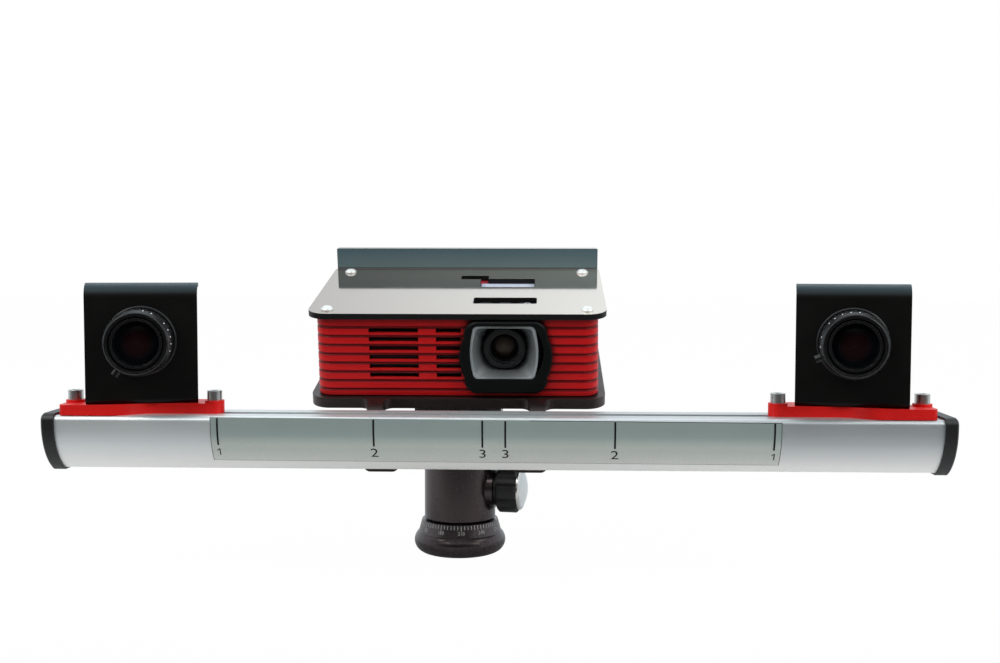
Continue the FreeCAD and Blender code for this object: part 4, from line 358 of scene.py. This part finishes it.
def label_material():
    """Matt film printed pale green-grey, a little speckled; a painted reflection makes it darker at its head and
    paler towards its foot.
    """
    t = Tree("label_film")
    specks = t.noise(1500.0, 2.0, 0.8)
    level = t.along((0, 0, 1))
    # Painted reflection: darker at the label's head, paler towards its foot.
    middle = t.remap(level, (RAIL.origin.z - 16.0) * MM, (RAIL.origin.z - 10.5) * MM)
    tone = t.mix(middle, rgb(0.62, 0.66, 0.62), rgb(0.42, 0.51, 0.485))
    foot = t.remap(level, (RAIL.origin.z - 19.0) * MM, (RAIL.origin.z - 27.0) * MM)
    tone = t.mix(foot, tone, rgb(0.78, 0.77, 0.73))
    tone = t.mix(t.remap(specks, 0.35, 0.65, 0.0, 0.3), tone, rgb(0.40, 0.47, 0.45))
    t.link(tone, t.shader.inputs["Base Color"])
    t.link(t.remap(t.noise(90.0, 3.0), 0.3, 0.7, 0.36, 0.44), t.shader.inputs["Roughness"])
    t.shader.inputs["Metallic"].default_value = 0.35
    t.link(t.bump(specks, 0.000003), t.shader.inputs["Normal"])
    return t.material


def red_painted_light(t, tone):
    """The grooves and corners of the red case hold a little more painted shade, and the lower flank of each rib gets
    a painted highlight.
    """
    # Painted shade in the grooves and corners, from ambient occlusion.
    painted_hollow_shade = t.add("ShaderNodeAmbientOcclusion", samples=8)
    painted_hollow_shade.inputs["Distance"].default_value = 0.004
    tone = t.mix(t.remap(painted_hollow_shade.outputs["AO"], 0.45, 0.92), rgb(0.05, 0.0, 0.001), tone)
    base = (PLATE.origin * MM).dot(PLATE.axes[2])
    level = t.math("SUBTRACT", t.along(PLATE.axes[2]), base + GROOVE_FOOT * MM)
    step = t.math("FRACT", t.math("ADD", t.math("DIVIDE", level, RIB_PITCH * MM), 0.5))
    away = t.math("ABSOLUTE", t.math("SUBTRACT", step, 0.5))
    shade = t.math("MULTIPLY", t.remap(away, 0.21, 0.13), t.remap(level, RIB_PITCH * 7.4 * MM, RIB_PITCH * 7.3 * MM))
    # Painted highlight on the lower flank of each rib.
    lift = t.remap(step, 0.62, 0.95, 0.0, 0.25)
    tone = t.mix(lift, tone, rgb(0.95, 0.02, 0.015))
    return t.mix(t.math("MULTIPLY", shade, 0.75), tone, rgb(0.12, 0.0, 0.002))


def bracket_painted_reflection(t, tone):
    """Painted reflection of the sky: the bend and the top of the sheet bracket take a colder tone."""
    return t.mix(t.facing((0, 0, 1), 0.2, 0.75), tone, rgb(0.030, 0.052, 0.064))


def funnel_painted_shade(t, tone):
    """Painted shade: the funnel is darker towards its middle, deep around the lens, and its corners are brighter."""
    reach = t.radius_from(PLATE.place(28.5, 0, 35.6), PLATE.axes[1])
    return t.mix(t.remap(reach, 0.012, 0.022), rgb(0.12, 0.13, 0.132), rgb(0.52, 0.56, 0.565))


LENS_AXES = []
for lens_side in ("left", "right"):
    lens_frame = camera_frame(lens_side)
    LENS_AXES.append((lens_frame.origin * MM, lens_frame.axes[1]))
PROJECTOR_AXIS = (PLATE.place(28.5, 0, 35.6), PLATE.axes[1])

MATERIALS = {
    "black_metal": solid_finish("black_metal", rgb(0.010, 0.0075, 0.008), 0.27, specular=0.75, grain=1600.0,
                                gloss_tone=(1.0, 0.8, 0.82)),
    "dial_metal": solid_finish("dial_metal", rgb(0.022, 0.017, 0.018), 0.28, specular=0.9, grain=1600.0,
                               gloss_tone=(1.0, 0.84, 0.86)),
    "rubber_grip": solid_finish("rubber_grip", rgb(0.008, 0.008, 0.008), 0.5, grain=1300.0, specular=0.4),
    "bright_metal": solid_finish("bright_metal", rgb(0.72, 0.70, 0.68), 0.25, 1.0, tint=0.04, edge_amount=0.1),
    "pale_cap": solid_finish("pale_cap", rgb(0.93, 0.97, 1.0), 0.3, edge_tint=1.1, tint=0.02),
    "ball_metal": solid_finish("ball_metal", rgb(0.5, 0.51, 0.53), 0.3, 1.0, tint=0.05),
    "nylon": solid_finish("nylon", rgb(0.7, 0.7, 0.66), 0.5),
    "plate_black": solid_finish("plate_black", rgb(0.014, 0.0095, 0.0095), 0.38, specular=0.6, dust=0.08,
                                gloss_tone=(1.0, 0.78, 0.76)),
    "sheet_black": sheet_material(),
    "bracket_black": solid_finish("bracket_black", rgb(0.0045, 0.004, 0.0036), 0.4, specular=0.22, grain=1800.0,
                                  grain_depth=0.000004, edge_tint=3.0, edge_amount=0.2, dust=0.04,
                                  paint=bracket_painted_reflection),
    "rail_grey": rail_material(),
    "cap_black": solid_finish("cap_black", rgb(0.011, 0.0105, 0.0115), 0.45, specular=0.4, grain=1200.0),
    "case_red": solid_finish("case_red", rgb(0.72, 0.006, 0.009), 0.38, tint=0.04, edge_tint=1.3, specular=0.25,
                              paint=red_painted_light),
    "carriage_red": solid_finish("carriage_red", rgb(0.86, 0.015, 0.013), 0.4, tint=0.05, edge_tint=1.15,
                                 patch=60.0, specular=0.25),
    "inner_black": solid_finish("inner_black", rgb(0.012, 0.012, 0.012), 0.5),
    "hood_black": solid_finish("hood_black", rgb(0.004, 0.0045, 0.0045), 0.45, specular=0.12),
    "funnel_silver": solid_finish("funnel_silver", rgb(0.40, 0.42, 0.425), 0.34, 0.5, tint=0.04, edge_tint=2.0,
                                   paint=funnel_painted_shade),
    # Lens bodies: the high edge tint paints a bright rim highlight along their edges.
    "lens_black": solid_finish("lens_black", rgb(0.005, 0.005, 0.0055), 0.3, specular=0.4, edge_tint=24.0,
                               edge_amount=0.9, edge=0.00025),
    "optic_glass": glass_material("optic_glass", LENS_AXES, 0.0085, rgb(0.014, 0.0045, 0.006),
                                  rgb(0.003, 0.0075, 0.0105), 0.25),
    "barrel_glass": glass_material("barrel_glass", [PROJECTOR_AXIS], 0.0038, rgb(0.115, 0.088, 0.062),
                                   rgb(0.006, 0.005, 0.005), 0.75),
    "camera_black": solid_finish("camera_black", rgb(0.014, 0.014, 0.014), 0.42),
    "screw_steel": solid_finish("screw_steel", rgb(0.60, 0.60, 0.58), 0.3, 1.0, tint=0.05),
    "dome_steel": solid_finish("dome_steel", rgb(0.82, 0.85, 0.84), 0.42, 0.4, tint=0.03, edge_amount=0.1),
    "cast_aluminium": solid_finish("cast_aluminium", rgb(0.5, 0.5, 0.51), 0.5, 1.0),
    "key_grey": solid_finish("key_grey", rgb(0.016, 0.019, 0.022), 0.4),
    "port_black": solid_finish("port_black", rgb(0.014, 0.014, 0.014), 0.42),
}
INK_BLACK = print_ink("ink_black", rgb(0.006, 0.006, 0.007))
INK_PALE = print_ink("ink_pale", rgb(0.62, 0.60, 0.57))
INK_WHITE = print_ink("ink_white", rgb(0.85, 0.88, 0.9))
# Grey of the thin dark lines along the label's edges.
EDGE_LINE_GREY = print_ink("edge_line_grey", rgb(0.07, 0.08, 0.08))
LABEL_FILM = label_material()
STICKER_BLUE = print_ink("sticker_blue", rgb(0.62, 0.68, 0.82))
STICKER_RED = print_ink("sticker_red", rgb(0.30, 0.008, 0.02))
GOLD = solid_finish("contact_gold", rgb(0.8, 0.55, 0.2), 0.25, 1.0)
SLOTS = {entry["node"]: entry["material_slot"] for entry in frame["record"]["subparts"]}


def dress(item, material):
    """One material in every slot of a piece."""
    slots = item.data.materials
    if len(slots) == 0:
        slots.append(material)
    for index in range(len(slots)):
        slots[index] = material


OWN_FINISH = {"plate_screws": "dome_steel", "projector_lens": "barrel_glass"}
for node_name, node in NODES.items():
    dress(node, MATERIALS[OWN_FINISH.get(node_name, SLOTS[node_name])])


# ---------------------------------------------------------------- pieces
def piece(name, mesh, material, body):
    """A new piece that rides on a body and takes its finish from a slot."""
    item = bpy.data.objects.new(name, mesh)
    bpy.context.scene.collection.objects.link(item)
    dress(item, material)
    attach(item, body)
    return item


class Work:
    """Gathers faces in the row frame and makes one mesh of them."""

    def __init__(self):
        self.mesh = bmesh.new()

    def patch(self, rows, close=False):
        """Skin between rows of points; close joins the first row to the last."""
        lines = [[self.mesh.verts.new(point) for point in row] for row in rows]
        pairs = list(zip(lines, lines[1:]))
        if close:
            pairs.append((lines[-1], lines[0]))
        for low, high in pairs:
            for index in range(len(low) - 1):
                self.mesh.faces.new((low[index], low[index + 1], high[index + 1], high[index]))

    def block(self, place, x0, x1, y0, y1, z0, z1, edge=0.0):
        """A box in a frame's own millimetres, with its edges bevelled."""
        part = bmesh.new()
        bmesh.ops.create_cube(part, size=1.0)
        for vert in part.verts:
            vert.co.x = x0 + (vert.co.x + 0.5) * (x1 - x0)
            vert.co.y = y0 + (vert.co.y + 0.5) * (y1 - y0)
            vert.co.z = z0 + (vert.co.z + 0.5) * (z1 - z0)
        if edge:
            bmesh.ops.bevel(part, geom=list(part.edges), offset=edge, segments=2, affect="EDGES")
        self.take(part, place)

    def lathe(self, place, profile, steps=32, around=(0.0, 0.0), axis="y"):
        """Rings from (radius, depth) pairs about a line through around, along one axis of the frame."""
        rows = []
        for step in range(steps + 1):
            turn = 2 * math.pi * step / steps
            row = []
            for radius, depth in profile:
                one = around[0] + radius * math.cos(turn)
                two = around[1] + radius * math.sin(turn)
                row.append(place(one, depth, two) if axis == "y" else place(one, two, depth))
            rows.append(row)
        self.patch(rows)

    def take(self, part, place):
        """Adds another mesh, its points put through place()."""
        made = {vert: self.mesh.verts.new(place(*vert.co)) for vert in part.verts}
        for face in part.faces:
            self.mesh.faces.new([made[vert] for vert in face.verts])
        part.free()

    def finish(self, name, smooth=False):
        bmesh.ops.remove_doubles(self.mesh, verts=self.mesh.verts, dist=1e-7)
        bmesh.ops.recalc_face_normals(self.mesh, faces=self.mesh.faces)
        for face in self.mesh.faces:
            face.smooth = smooth
        data = bpy.data.meshes.new(name)
        self.mesh.to_mesh(data)
        self.mesh.free()
        return data


def figure(text, height, place, bold=0.0):
    """Faces of a figure, height millimetres tall and centred on its own middle, put through place(u, v)."""
    curve = bpy.data.curves.new("figure", "FONT")
    curve.body = text
    curve.align_x = "CENTER"
    curve.align_y = "CENTER"
    curve.resolution_u = 4
    curve.offset = bold
    stand = bpy.data.objects.new("figure", curve)
    bpy.context.scene.collection.objects.link(stand)
    bpy.context.view_layer.update()
    flat = bpy.data.meshes.new_from_object(stand.evaluated_get(bpy.context.evaluated_depsgraph_get()))
    cut = bmesh.new()
    cut.from_mesh(flat)
    low, high = min(vert.co.y for vert in cut.verts), max(vert.co.y for vert in cut.verts)
    for step in range(1, 10):
        bmesh.ops.bisect_plane(cut, geom=cut.verts[:] + cut.edges[:] + cut.faces[:],
                               plane_co=(0, low + (high - low) * step / 10, 0), plane_no=(0, 1, 0))
    factor = height / (high - low)
    points = [place(vert.co.x * factor, (vert.co.y - (low + high) / 2) * factor) for vert in cut.verts]
    cut.verts.index_update()
    faces = [[vert.index for vert in face.verts] for face in cut.faces]
    cut.free()
    bpy.data.objects.remove(stand)
    bpy.data.curves.remove(curve)
    bpy.data.meshes.remove(flat)
    return points, faces


def add_figure(work, text, height, place, bold=0.0):
    points, faces = figure(text, height, place, bold)
    verts = [work.mesh.verts.new(point) for point in points]
    for face in faces:
        work.mesh.faces.new([verts[index] for index in face])


# ---------------------------------------------------------------- scale label on the rail's front
def rail_front(x, run, lift):
    """Point on the rail's front: run is the length down the surface from FRONT_ARC_Z, lift is outwards."""
    if run <= 0:
        return RAIL.place(x, -lift, FRONT_ARC_Z - run)
    angle = run / FRONT_RADIUS
    reach = FRONT_RADIUS + lift
    return RAIL.place(x, FRONT_RADIUS - reach * math.cos(angle), FRONT_ARC_Z - reach * math.sin(angle))


LABEL_LEFT, LABEL_RIGHT = -160.6, 160.4
LABEL_TALL = 27.7
LABEL_LIFT = 0.05


def label_top(x):
    """The label was laid on a little askew: run of its upper edge."""
    return -3.7 + (x - LABEL_LEFT) * 0.00435


def label_point(x, down, lift=LABEL_LIFT):
    return rail_front(x, label_top(x) + down, lift)


def wrinkle(x, down):
    """Height of the long shallow creases near the lower edge."""
    height = 0.0
    for centre, width, start, rise in ((-92.0, 48.0, 21.6, 2.6), (62.0, 44.0, 23.6, -1.6), (-20.0, 60.0, 25.4, 0.3)):
        reach = (x - centre) / width
        if abs(reach) < 1:
            line = start + rise * reach
            height += 0.10 * (1 - reach * reach) * math.exp(-((down - line) / 0.7) ** 2)
    return height


def printed(x, down, lift):
    """Point of the print and of the edge lines: it lies on the label's creases too."""
    return label_point(x, down, lift + wrinkle(x, down))


def stripe(work, x0, x1, down0, down1, lift, across=1, along=6):
    """Thin stripe on the label, for the printed ticks and the dark lines along its edges."""
    rows = []
    for step in range(along + 1):
        down = down0 + (down1 - down0) * step / along
        rows.append([printed(x0 + (x1 - x0) * n / across, down, lift) for n in range(across + 1)])
    work.patch(rows)


def make_label():
    work = Work()
    rows = []
    for step in range(37):
        down = LABEL_TALL * step / 36
        row = []
        for n in range(161):
            x = LABEL_LEFT + (LABEL_RIGHT - LABEL_LEFT) * n / 160
            row.append(label_point(x, down, LABEL_LIFT + wrinkle(x, down)))
        rows.append(row)
    work.patch(rows)
    piece("rail_label", work.finish("rail_label", True), LABEL_FILM, "sensor_head")

    # Thin dark lines along the label's edges.
    border = Work()
    line = 0.35
    raised = LABEL_LIFT + 0.03
    for x in (LABEL_LEFT, LABEL_RIGHT - line):
        stripe(border, x, x + line, 0, LABEL_TALL, raised, along=36)
    stripe(border, LABEL_LEFT, LABEL_RIGHT, LABEL_TALL - 0.2, LABEL_TALL, raised, across=120, along=1)
    stripe(border, 20.0, LABEL_RIGHT, 0, 0.4, raised, across=60, along=1)
    piece("rail_label_border", border.finish("rail_label_border"), EDGE_LINE_GREY, "sensor_head")

    marks = Work()
    for x, text in ((-156.5, "1"), (-67.9, "2"), (-6.6, "3"), (6.3, "3"), (67.8, "2"), (156.4, "1")):
        stripe(marks, x - 0.55, x + 0.55, 0.5, 16.4, raised + 0.02, along=20)

        def on_label(u, v, x=x):
            return printed(x + u, 21.0 - v, raised + 0.02)
        if text == "1":
            marks.patch([[on_label(edge, 0.46 * step - 2.3) for edge in (0.2, 0.85)] for step in range(11)])
            marks.patch([[on_label(-1.1, v) for v in (0.7, 1.3)], [on_label(0.2, v) for v in (1.6, 2.3)]])
        else:
            add_figure(marks, text, 6.0, lambda u, v, x=x: printed(x + 1.15 * u, 20.7 - v, raised + 0.02))
    piece("rail_label_marks", marks.finish("rail_label_marks"), INK_BLACK, "sensor_head")


# ---------------------------------------------------------------- degrees on the pan dial
DIAL_FOOT, DIAL_HEAD = 13.0, 21.0
DIAL_FOOT_RADIUS, DIAL_HEAD_RADIUS = 26.6, 24.3
DIAL_FRONT = -84.5
DIAL_FRONT_DEGREES = 210
WORLD = Frame((0, 0, 0))


def dial_point(turn, height, lift=0.05):
    """Point on the dial's cone; turn is in degrees."""
    radius = DIAL_FOOT_RADIUS + (DIAL_HEAD_RADIUS - DIAL_FOOT_RADIUS) * (height - DIAL_FOOT) / (DIAL_HEAD - DIAL_FOOT)
    angle = math.radians(turn)
    return WORLD.place((radius + lift) * math.cos(angle), (radius + lift) * math.sin(angle), height + lift * 0.3)


def make_dial():
    work = Work()
    half = 0.5
    for step in range(72):
        turn = DIAL_FRONT + step * 5
        foot = 17.6 if step % 6 == 0 else 18.3
        work.patch([[dial_point(turn - half, z), dial_point(turn + half, z)] for z in (foot, 19.4, 20.7)])
        if step % 6 == 0:
            text = str((DIAL_FRONT_DEGREES + step * 5) % 360)

            def on_dial(u, v, turn=turn):
                return dial_point(turn + math.degrees(u / 25.8), 16.2 + v)
            add_figure(work, text, 2.1, on_dial)
    piece("dial_degrees", work.finish("dial_degrees"), INK_PALE, "base")


# ---------------------------------------------------------------- marks on the camera lenses
MARK_ANGLES = {"left": (79, 64, 36.5, 23.5, 10.7, -1.6, -14.4), "right": (83, 97.7, 112, 126, 139, 166, 183)}
CONE_START, CONE_END = 20.9, 27.4
CONE_START_RADIUS, CONE_END_RADIUS = 18.4, 17.2


def make_lens_marks(side):
    lens = camera_frame(side)
    mirror = -1 if side == "left" else 1
    work = Work()
    for turn in MARK_ANGLES[side]:
        rows = []
        for depth in (CONE_START + 0.3, CONE_START + 1.1, CONE_START + 2.0):
            radius = CONE_START_RADIUS + (CONE_END_RADIUS - CONE_START_RADIUS) * (
                depth - CONE_START) / (CONE_END - CONE_START) + 0.06
            row = []
            for edge in (-1.1, 0.0, 1.1):
                angle = math.radians(turn + edge)
                row.append(lens.place(mirror * radius * math.cos(angle), -depth, radius * math.sin(angle)))
            rows.append(row)
        work.patch(rows)
    piece("focus_marks_" + side, work.finish("focus_marks_" + side), INK_WHITE, "focus_ring_" + side)

    ring = Work()
    for turn in (90, 30, 150):
        angle = [math.radians(turn + edge) for edge in (-1.4, 1.4)]
        ring.patch([[lens.place(17.46 * math.cos(a), -depth, 17.46 * math.sin(a)) for a in angle]
                    for depth in (11.7, 12.7, 13.7)])
    piece("index_marks_" + side, ring.finish("index_marks_" + side), INK_WHITE, "camera_" + side)

    seams = Work()
    seams.lathe(lens.place, [(14.9, -28.93), (15.15, -28.98), (15.4, -28.93)], 64)
    piece("filter_ring_" + side, seams.finish("filter_ring_" + side, True), MATERIALS["lens_black"],
          "focus_ring_" + side)


# ---------------------------------------------------------------- what shows through the top sheet's windows
KEY_X, KEY_Y, KEY_RISE = 40.4, 31.7, 1.2


def make_stickers():
    height = CASE_TOP + 0.06
    # Painted shade: dark patches laid on the case roof where it shows through the windows.
    roof_shade_patch = Work()
    roof_shade_patch.block(PLATE.place, 11.3, 46.2, 65.2, 78.3, CASE_TOP + 0.01, CASE_TOP + 0.09, 0.03)
    roof_shade_patch.block(PLATE.place, -2.1, 10.0, 86.0, 94.9, CASE_TOP + 0.01, CASE_TOP + 0.09, 0.03)
    roof_shade_patch.block(PLATE.place, 15.3, 46.2, 88.4, 86.7, CASE_TOP + 0.01, CASE_TOP + 0.09, 0.03)
    piece("roof_painted_shade", roof_shade_patch.finish("roof_painted_shade"), MATERIALS["inner_black"], "sensor_head")
    strip = Work()
    strip.block(PLATE.place, 11.3, 46.2, 78.6, 86.7, CASE_TOP + 0.01, height + 0.06, 0.04)
    piece("roof_sticker", strip.finish("roof_sticker"), STICKER_BLUE, "sensor_head")
    spot = Work()
    spot.block(PLATE.place, 11.3, 15.2, 86.9, 94.9, CASE_TOP + 0.01, height + 0.06, 0.04)
    piece("roof_sticker_red", spot.finish("roof_sticker_red"), STICKER_RED, "sensor_head")


def make_key_marks():
    """A small open ring printed on the right key."""
    work = Work()
    rows = []
    for step in range(25):
        angle = math.radians(-60 + 300 * step / 24)
        rows.append([PLATE.place(KEY_X + 1.7 + r * math.cos(angle), KEY_Y + 1.6 + r * math.sin(angle),
                                 CASE_TOP + KEY_RISE + 0.03) for r in (1.2, 1.8)])
    work.patch(rows)
    piece("key_mark", work.finish("key_mark"), INK_WHITE, "key_3")


# ---------------------------------------------------------------- back of the projector and of the cameras
def make_ports():
    face = CASE_BACK - RIB_RISE
    work = Work()
    work.block(PLATE.place, -20.0 - 5.4, -20.0 + 5.4, face - 8.9, face - 1.6, 24.0 - 0.7, 24.0 + 0.7, 0.15)
    work.block(PLATE.place, 6.0 - 4.6, 6.0 + 4.6, face - 8.9, face - 1.4, 24.0 + 0.4, 24.0 + 1.8, 0.15)
    piece("socket_tongues", work.finish("socket_tongues"), MATERIALS["port_black"], "sensor_head")
    gold = Work()
    for step in range(9):
        x = -20.0 - 4.0 + step
        gold.block(PLATE.place, x - 0.25, x + 0.25, face - 8.0, face - 2.0, 24.0 + 0.7, 24.0 + 0.78, 0.02)
    for step in range(4):
        x = 6.0 - 3.3 + step * 2.2
        gold.block(PLATE.place, x - 0.55, x + 0.55, face - 8.0, face - 2.0, 24.0 + 0.3, 24.0 + 0.4, 0.02)
    piece("socket_contacts", gold.finish("socket_contacts"), GOLD, "sensor_head")
    screws = Work()
    for x in (-56.0, 56.0):
        for z in (19.0, 37.0):
            profile = [(0.0, face + 0.62), (1.2, face + 0.58), (2.1, face + 0.3), (2.3, face + 0.02)]
            screws.lathe(PLATE.place, profile, 24, (x, z))
            screws.block(PLATE.place, x - 1.5, x + 1.5, face + 0.5, face + 0.66, z - 0.22, z + 0.22, 0.02)
    piece("panel_screws", screws.finish("panel_screws", True), MATERIALS["screw_steel"], "sensor_head")


def make_camera_details(side):
    lens = camera_frame(side)
    half, back = 14.5, 36.5
    screws = Work()
    for x in (-1, 1):
        for z in (-1, 1):
            profile = [(0.55, back - 0.3), (0.6, back + 0.28), (1.3, back + 0.25), (1.55, back + 0.02)]
            screws.lathe(lens.place, profile, 20, (x * (half - 2.6), z * (half - 2.6)))
    piece("camera_screws_" + side, screws.finish("camera_screws_" + side, True), MATERIALS["screw_steel"],
          "camera_" + side)
    seam = Work()
    grown = half + 0.03
    for depth in (9.0, 31.5):
        corners = [(-grown, -grown + 1.5), (-grown + 0.45, -grown + 0.45), (-grown + 1.5, -grown), (grown - 1.5, -grown),
                   (grown - 0.45, -grown + 0.45), (grown, -grown + 1.5), (grown, grown - 1.5),
                   (grown - 0.45, grown - 0.45), (grown - 1.5, grown), (-grown + 1.5, grown),
                   (-grown + 0.45, grown - 0.45), (-grown, grown - 1.5)]
        rows = [[lens.place(x, y, z) for y in (depth, depth + 0.35)] for x, z in corners]
        seam.patch(rows, close=True)
    piece("camera_seams_" + side, seam.finish("camera_seams_" + side), INK_BLACK, "camera_" + side)
    pins = Work()
    for step in range(6):
        angle = math.radians(60 * step)
        pins.lathe(lens.place, [(0.3, back + 1.1), (0.3, back + 3.0), (0.05, back + 3.3)], 10,
                   (2.3 * math.cos(angle), 2.3 * math.sin(angle)))
    piece("camera_pins_" + side, pins.finish("camera_pins_" + side, True), GOLD, "camera_" + side)
    lamp_dot = Work()
    lamp_dot.lathe(lens.place, [(0.0, back + 0.22), (0.6, back + 0.18), (0.8, back + 0.02)], 16, (8.5, 0.0))
    piece("camera_light_" + side, lamp_dot.finish("camera_light_" + side, True), INK_PALE, "camera_" + side)


# ---------------------------------------------------------------- projector lens
def make_barrel_rings():
    """Fine baffle rings inside the barrel's mouth."""
    work = Work()
    for radius, depth in ((11.2, 8.25), (12.2, 8.45)):
        profile = [(radius - 0.25, depth + 0.05), (radius, depth - 0.22), (radius + 0.25, depth + 0.05)]
        work.lathe(PLATE.place, profile, 72, (28.5, 35.6))
    piece("barrel_rings", work.finish("barrel_rings", True), MATERIALS["lens_black"], "sensor_head")


make_label()
make_dial()
for camera_side in ("left", "right"):
    make_lens_marks(camera_side)
    make_camera_details(camera_side)
make_stickers()
make_key_marks()
make_ports()
make_barrel_rings()


# ---------------------------------------------------------------- stage and light
def world_light():
    """White where the camera looks; other rays meet a pale sky with a darker room on the viewer's side."""
    world = bpy.data.worlds.new("studio")
    bpy.context.scene.world = world
    world.use_nodes = True
    tree = world.node_tree

    def add(kind, **settings):
        node = tree.nodes.new(kind)
        for key, value in settings.items():
            setattr(node, key, value)
        return node

    def ramp(value, low, high, out_low=0.0, out_high=1.0):
        node = add("ShaderNodeMapRange", interpolation_type="SMOOTHSTEP")
        for key, number in (("From Min", low), ("From Max", high), ("To Min", out_low), ("To Max", out_high)):
            node.inputs[key].default_value = number
        tree.links.new(value, node.inputs["Value"])
        return node.outputs["Result"]

    def times(first, second):
        node = add("ShaderNodeMath", operation="MULTIPLY")
        tree.links.new(first, node.inputs[0])
        tree.links.new(second, node.inputs[1])
        return node.outputs["Value"]

    background = tree.nodes["Background"]
    where = add("ShaderNodeTexCoord").outputs["Generated"]
    split = add("ShaderNodeSeparateXYZ")
    tree.links.new(where, split.inputs["Vector"])
    forward = ramp(split.outputs["Y"], -0.85, -0.25, 1.0, 0.0)
    low = ramp(split.outputs["Z"], 0.25, 0.75, 1.0, 0.0)
    room = times(forward, low)
    sky = add("ShaderNodeMix", data_type="RGBA")
    tree.links.new(room, sky.inputs["Factor"])
    sky.inputs["A"].default_value = (0.86, 0.95, 1.0, 1.0)
    sky.inputs["B"].default_value = ROOM_TONE
    path = add("ShaderNodeLightPath")
    seen = add("ShaderNodeMath", operation="MAXIMUM")
    tree.links.new(path.outputs["Is Camera Ray"], seen.inputs[0])
    tree.links.new(path.outputs["Is Transmission Ray"], seen.inputs[1])
    colour = add("ShaderNodeMix", data_type="RGBA")
    tree.links.new(seen.outputs[0], colour.inputs["Factor"])
    tree.links.new(sky.outputs["Result"], colour.inputs["A"])
    colour.inputs["B"].default_value = (1.0, 1.0, 1.0, 1.0)
    tree.links.new(colour.outputs["Result"], background.inputs["Color"])
    strong = add("ShaderNodeMath", operation="MAXIMUM")
    tree.links.new(seen.outputs[0], strong.inputs[0])
    tree.links.new(path.outputs["Is Glossy Ray"], strong.inputs[1])
    tree.links.new(ramp(strong.outputs[0], 0.0, 1.0, SKY_FILL, 1.0), background.inputs["Strength"])


def floor_material():
    t = Tree("floor")
    pale = t.mix(t.noise(4.0), rgb(0.80, 0.80, 0.80), rgb(0.84, 0.84, 0.84))
    shade = t.remap(t.along((0, 1, 0)), -0.32, -0.14)
    t.link(t.mix(shade, rgb(0.055, 0.05, 0.05), pale), t.shader.inputs["Base Color"])
    t.shader.inputs["Roughness"].default_value = 0.8
    path = t.add("ShaderNodeLightPath")
    seen = t.math("MAXIMUM", path.outputs["Is Camera Ray"], path.outputs["Is Transmission Ray"])
    glow = t.add("ShaderNodeEmission")
    glow.inputs["Color"].default_value = (1.0, 1.0, 1.0, 1.0)
    glow.inputs["Strength"].default_value = 1.0
    blend = t.add("ShaderNodeMixShader")
    t.link(t.math("MULTIPLY", seen, 0.985), blend.inputs["Fac"])
    t.link(t.shader.outputs["BSDF"], blend.inputs[1])
    t.link(glow.outputs["Emission"], blend.inputs[2])
    t.link(blend.outputs["Shader"], t.output.inputs["Surface"])
    return t.material


def make_floor():
    mesh = bpy.data.meshes.new("floor")
    work = bmesh.new()
    bmesh.ops.create_grid(work, x_segments=8, y_segments=8, size=6.0)
    bmesh.ops.translate(work, verts=work.verts, vec=(0.0, 0.0, -0.0003))
    work.to_mesh(mesh)
    work.free()
    floor = bpy.data.objects.new("floor", mesh)
    bpy.context.scene.collection.objects.link(floor)
    floor.data.materials.append(floor_material())


def lamp(name, place, target, width, height, power, colour=(1.0, 1.0, 1.0)):
    data = bpy.data.lights.new(name, "AREA")
    data.shape = "RECTANGLE"
    data.size = width
    data.size_y = height
    data.energy = power
    data.color = colour
    item = bpy.data.objects.new(name, data)
    item.location = place
    item.rotation_euler = (Vector(target) - Vector(place)).to_track_quat("-Z", "Y").to_euler()
    bpy.context.scene.collection.objects.link(item)


ROOM_TONE = (0.022, 0.019, 0.019, 1.0)
SKY_FILL = 0.6
world_light()
make_floor()
lamp("key", (-0.9, -0.9, 1.3), (0.0, 0.0, 0.1), 1.0, 0.8, 12.0, (1.0, 0.97, 0.93))
lamp("fill", (1.1, -0.7, 1.0), (0.0, 0.0, 0.1), 0.8, 0.8, 8.0, (1.0, 0.98, 0.95))
lamp("back", (0.0, 0.8, 1.6), (0.0, 0.0, 0.1), 1.6, 0.6, 6.0)

bpy.context.scene.view_settings.view_transform = "Standard"
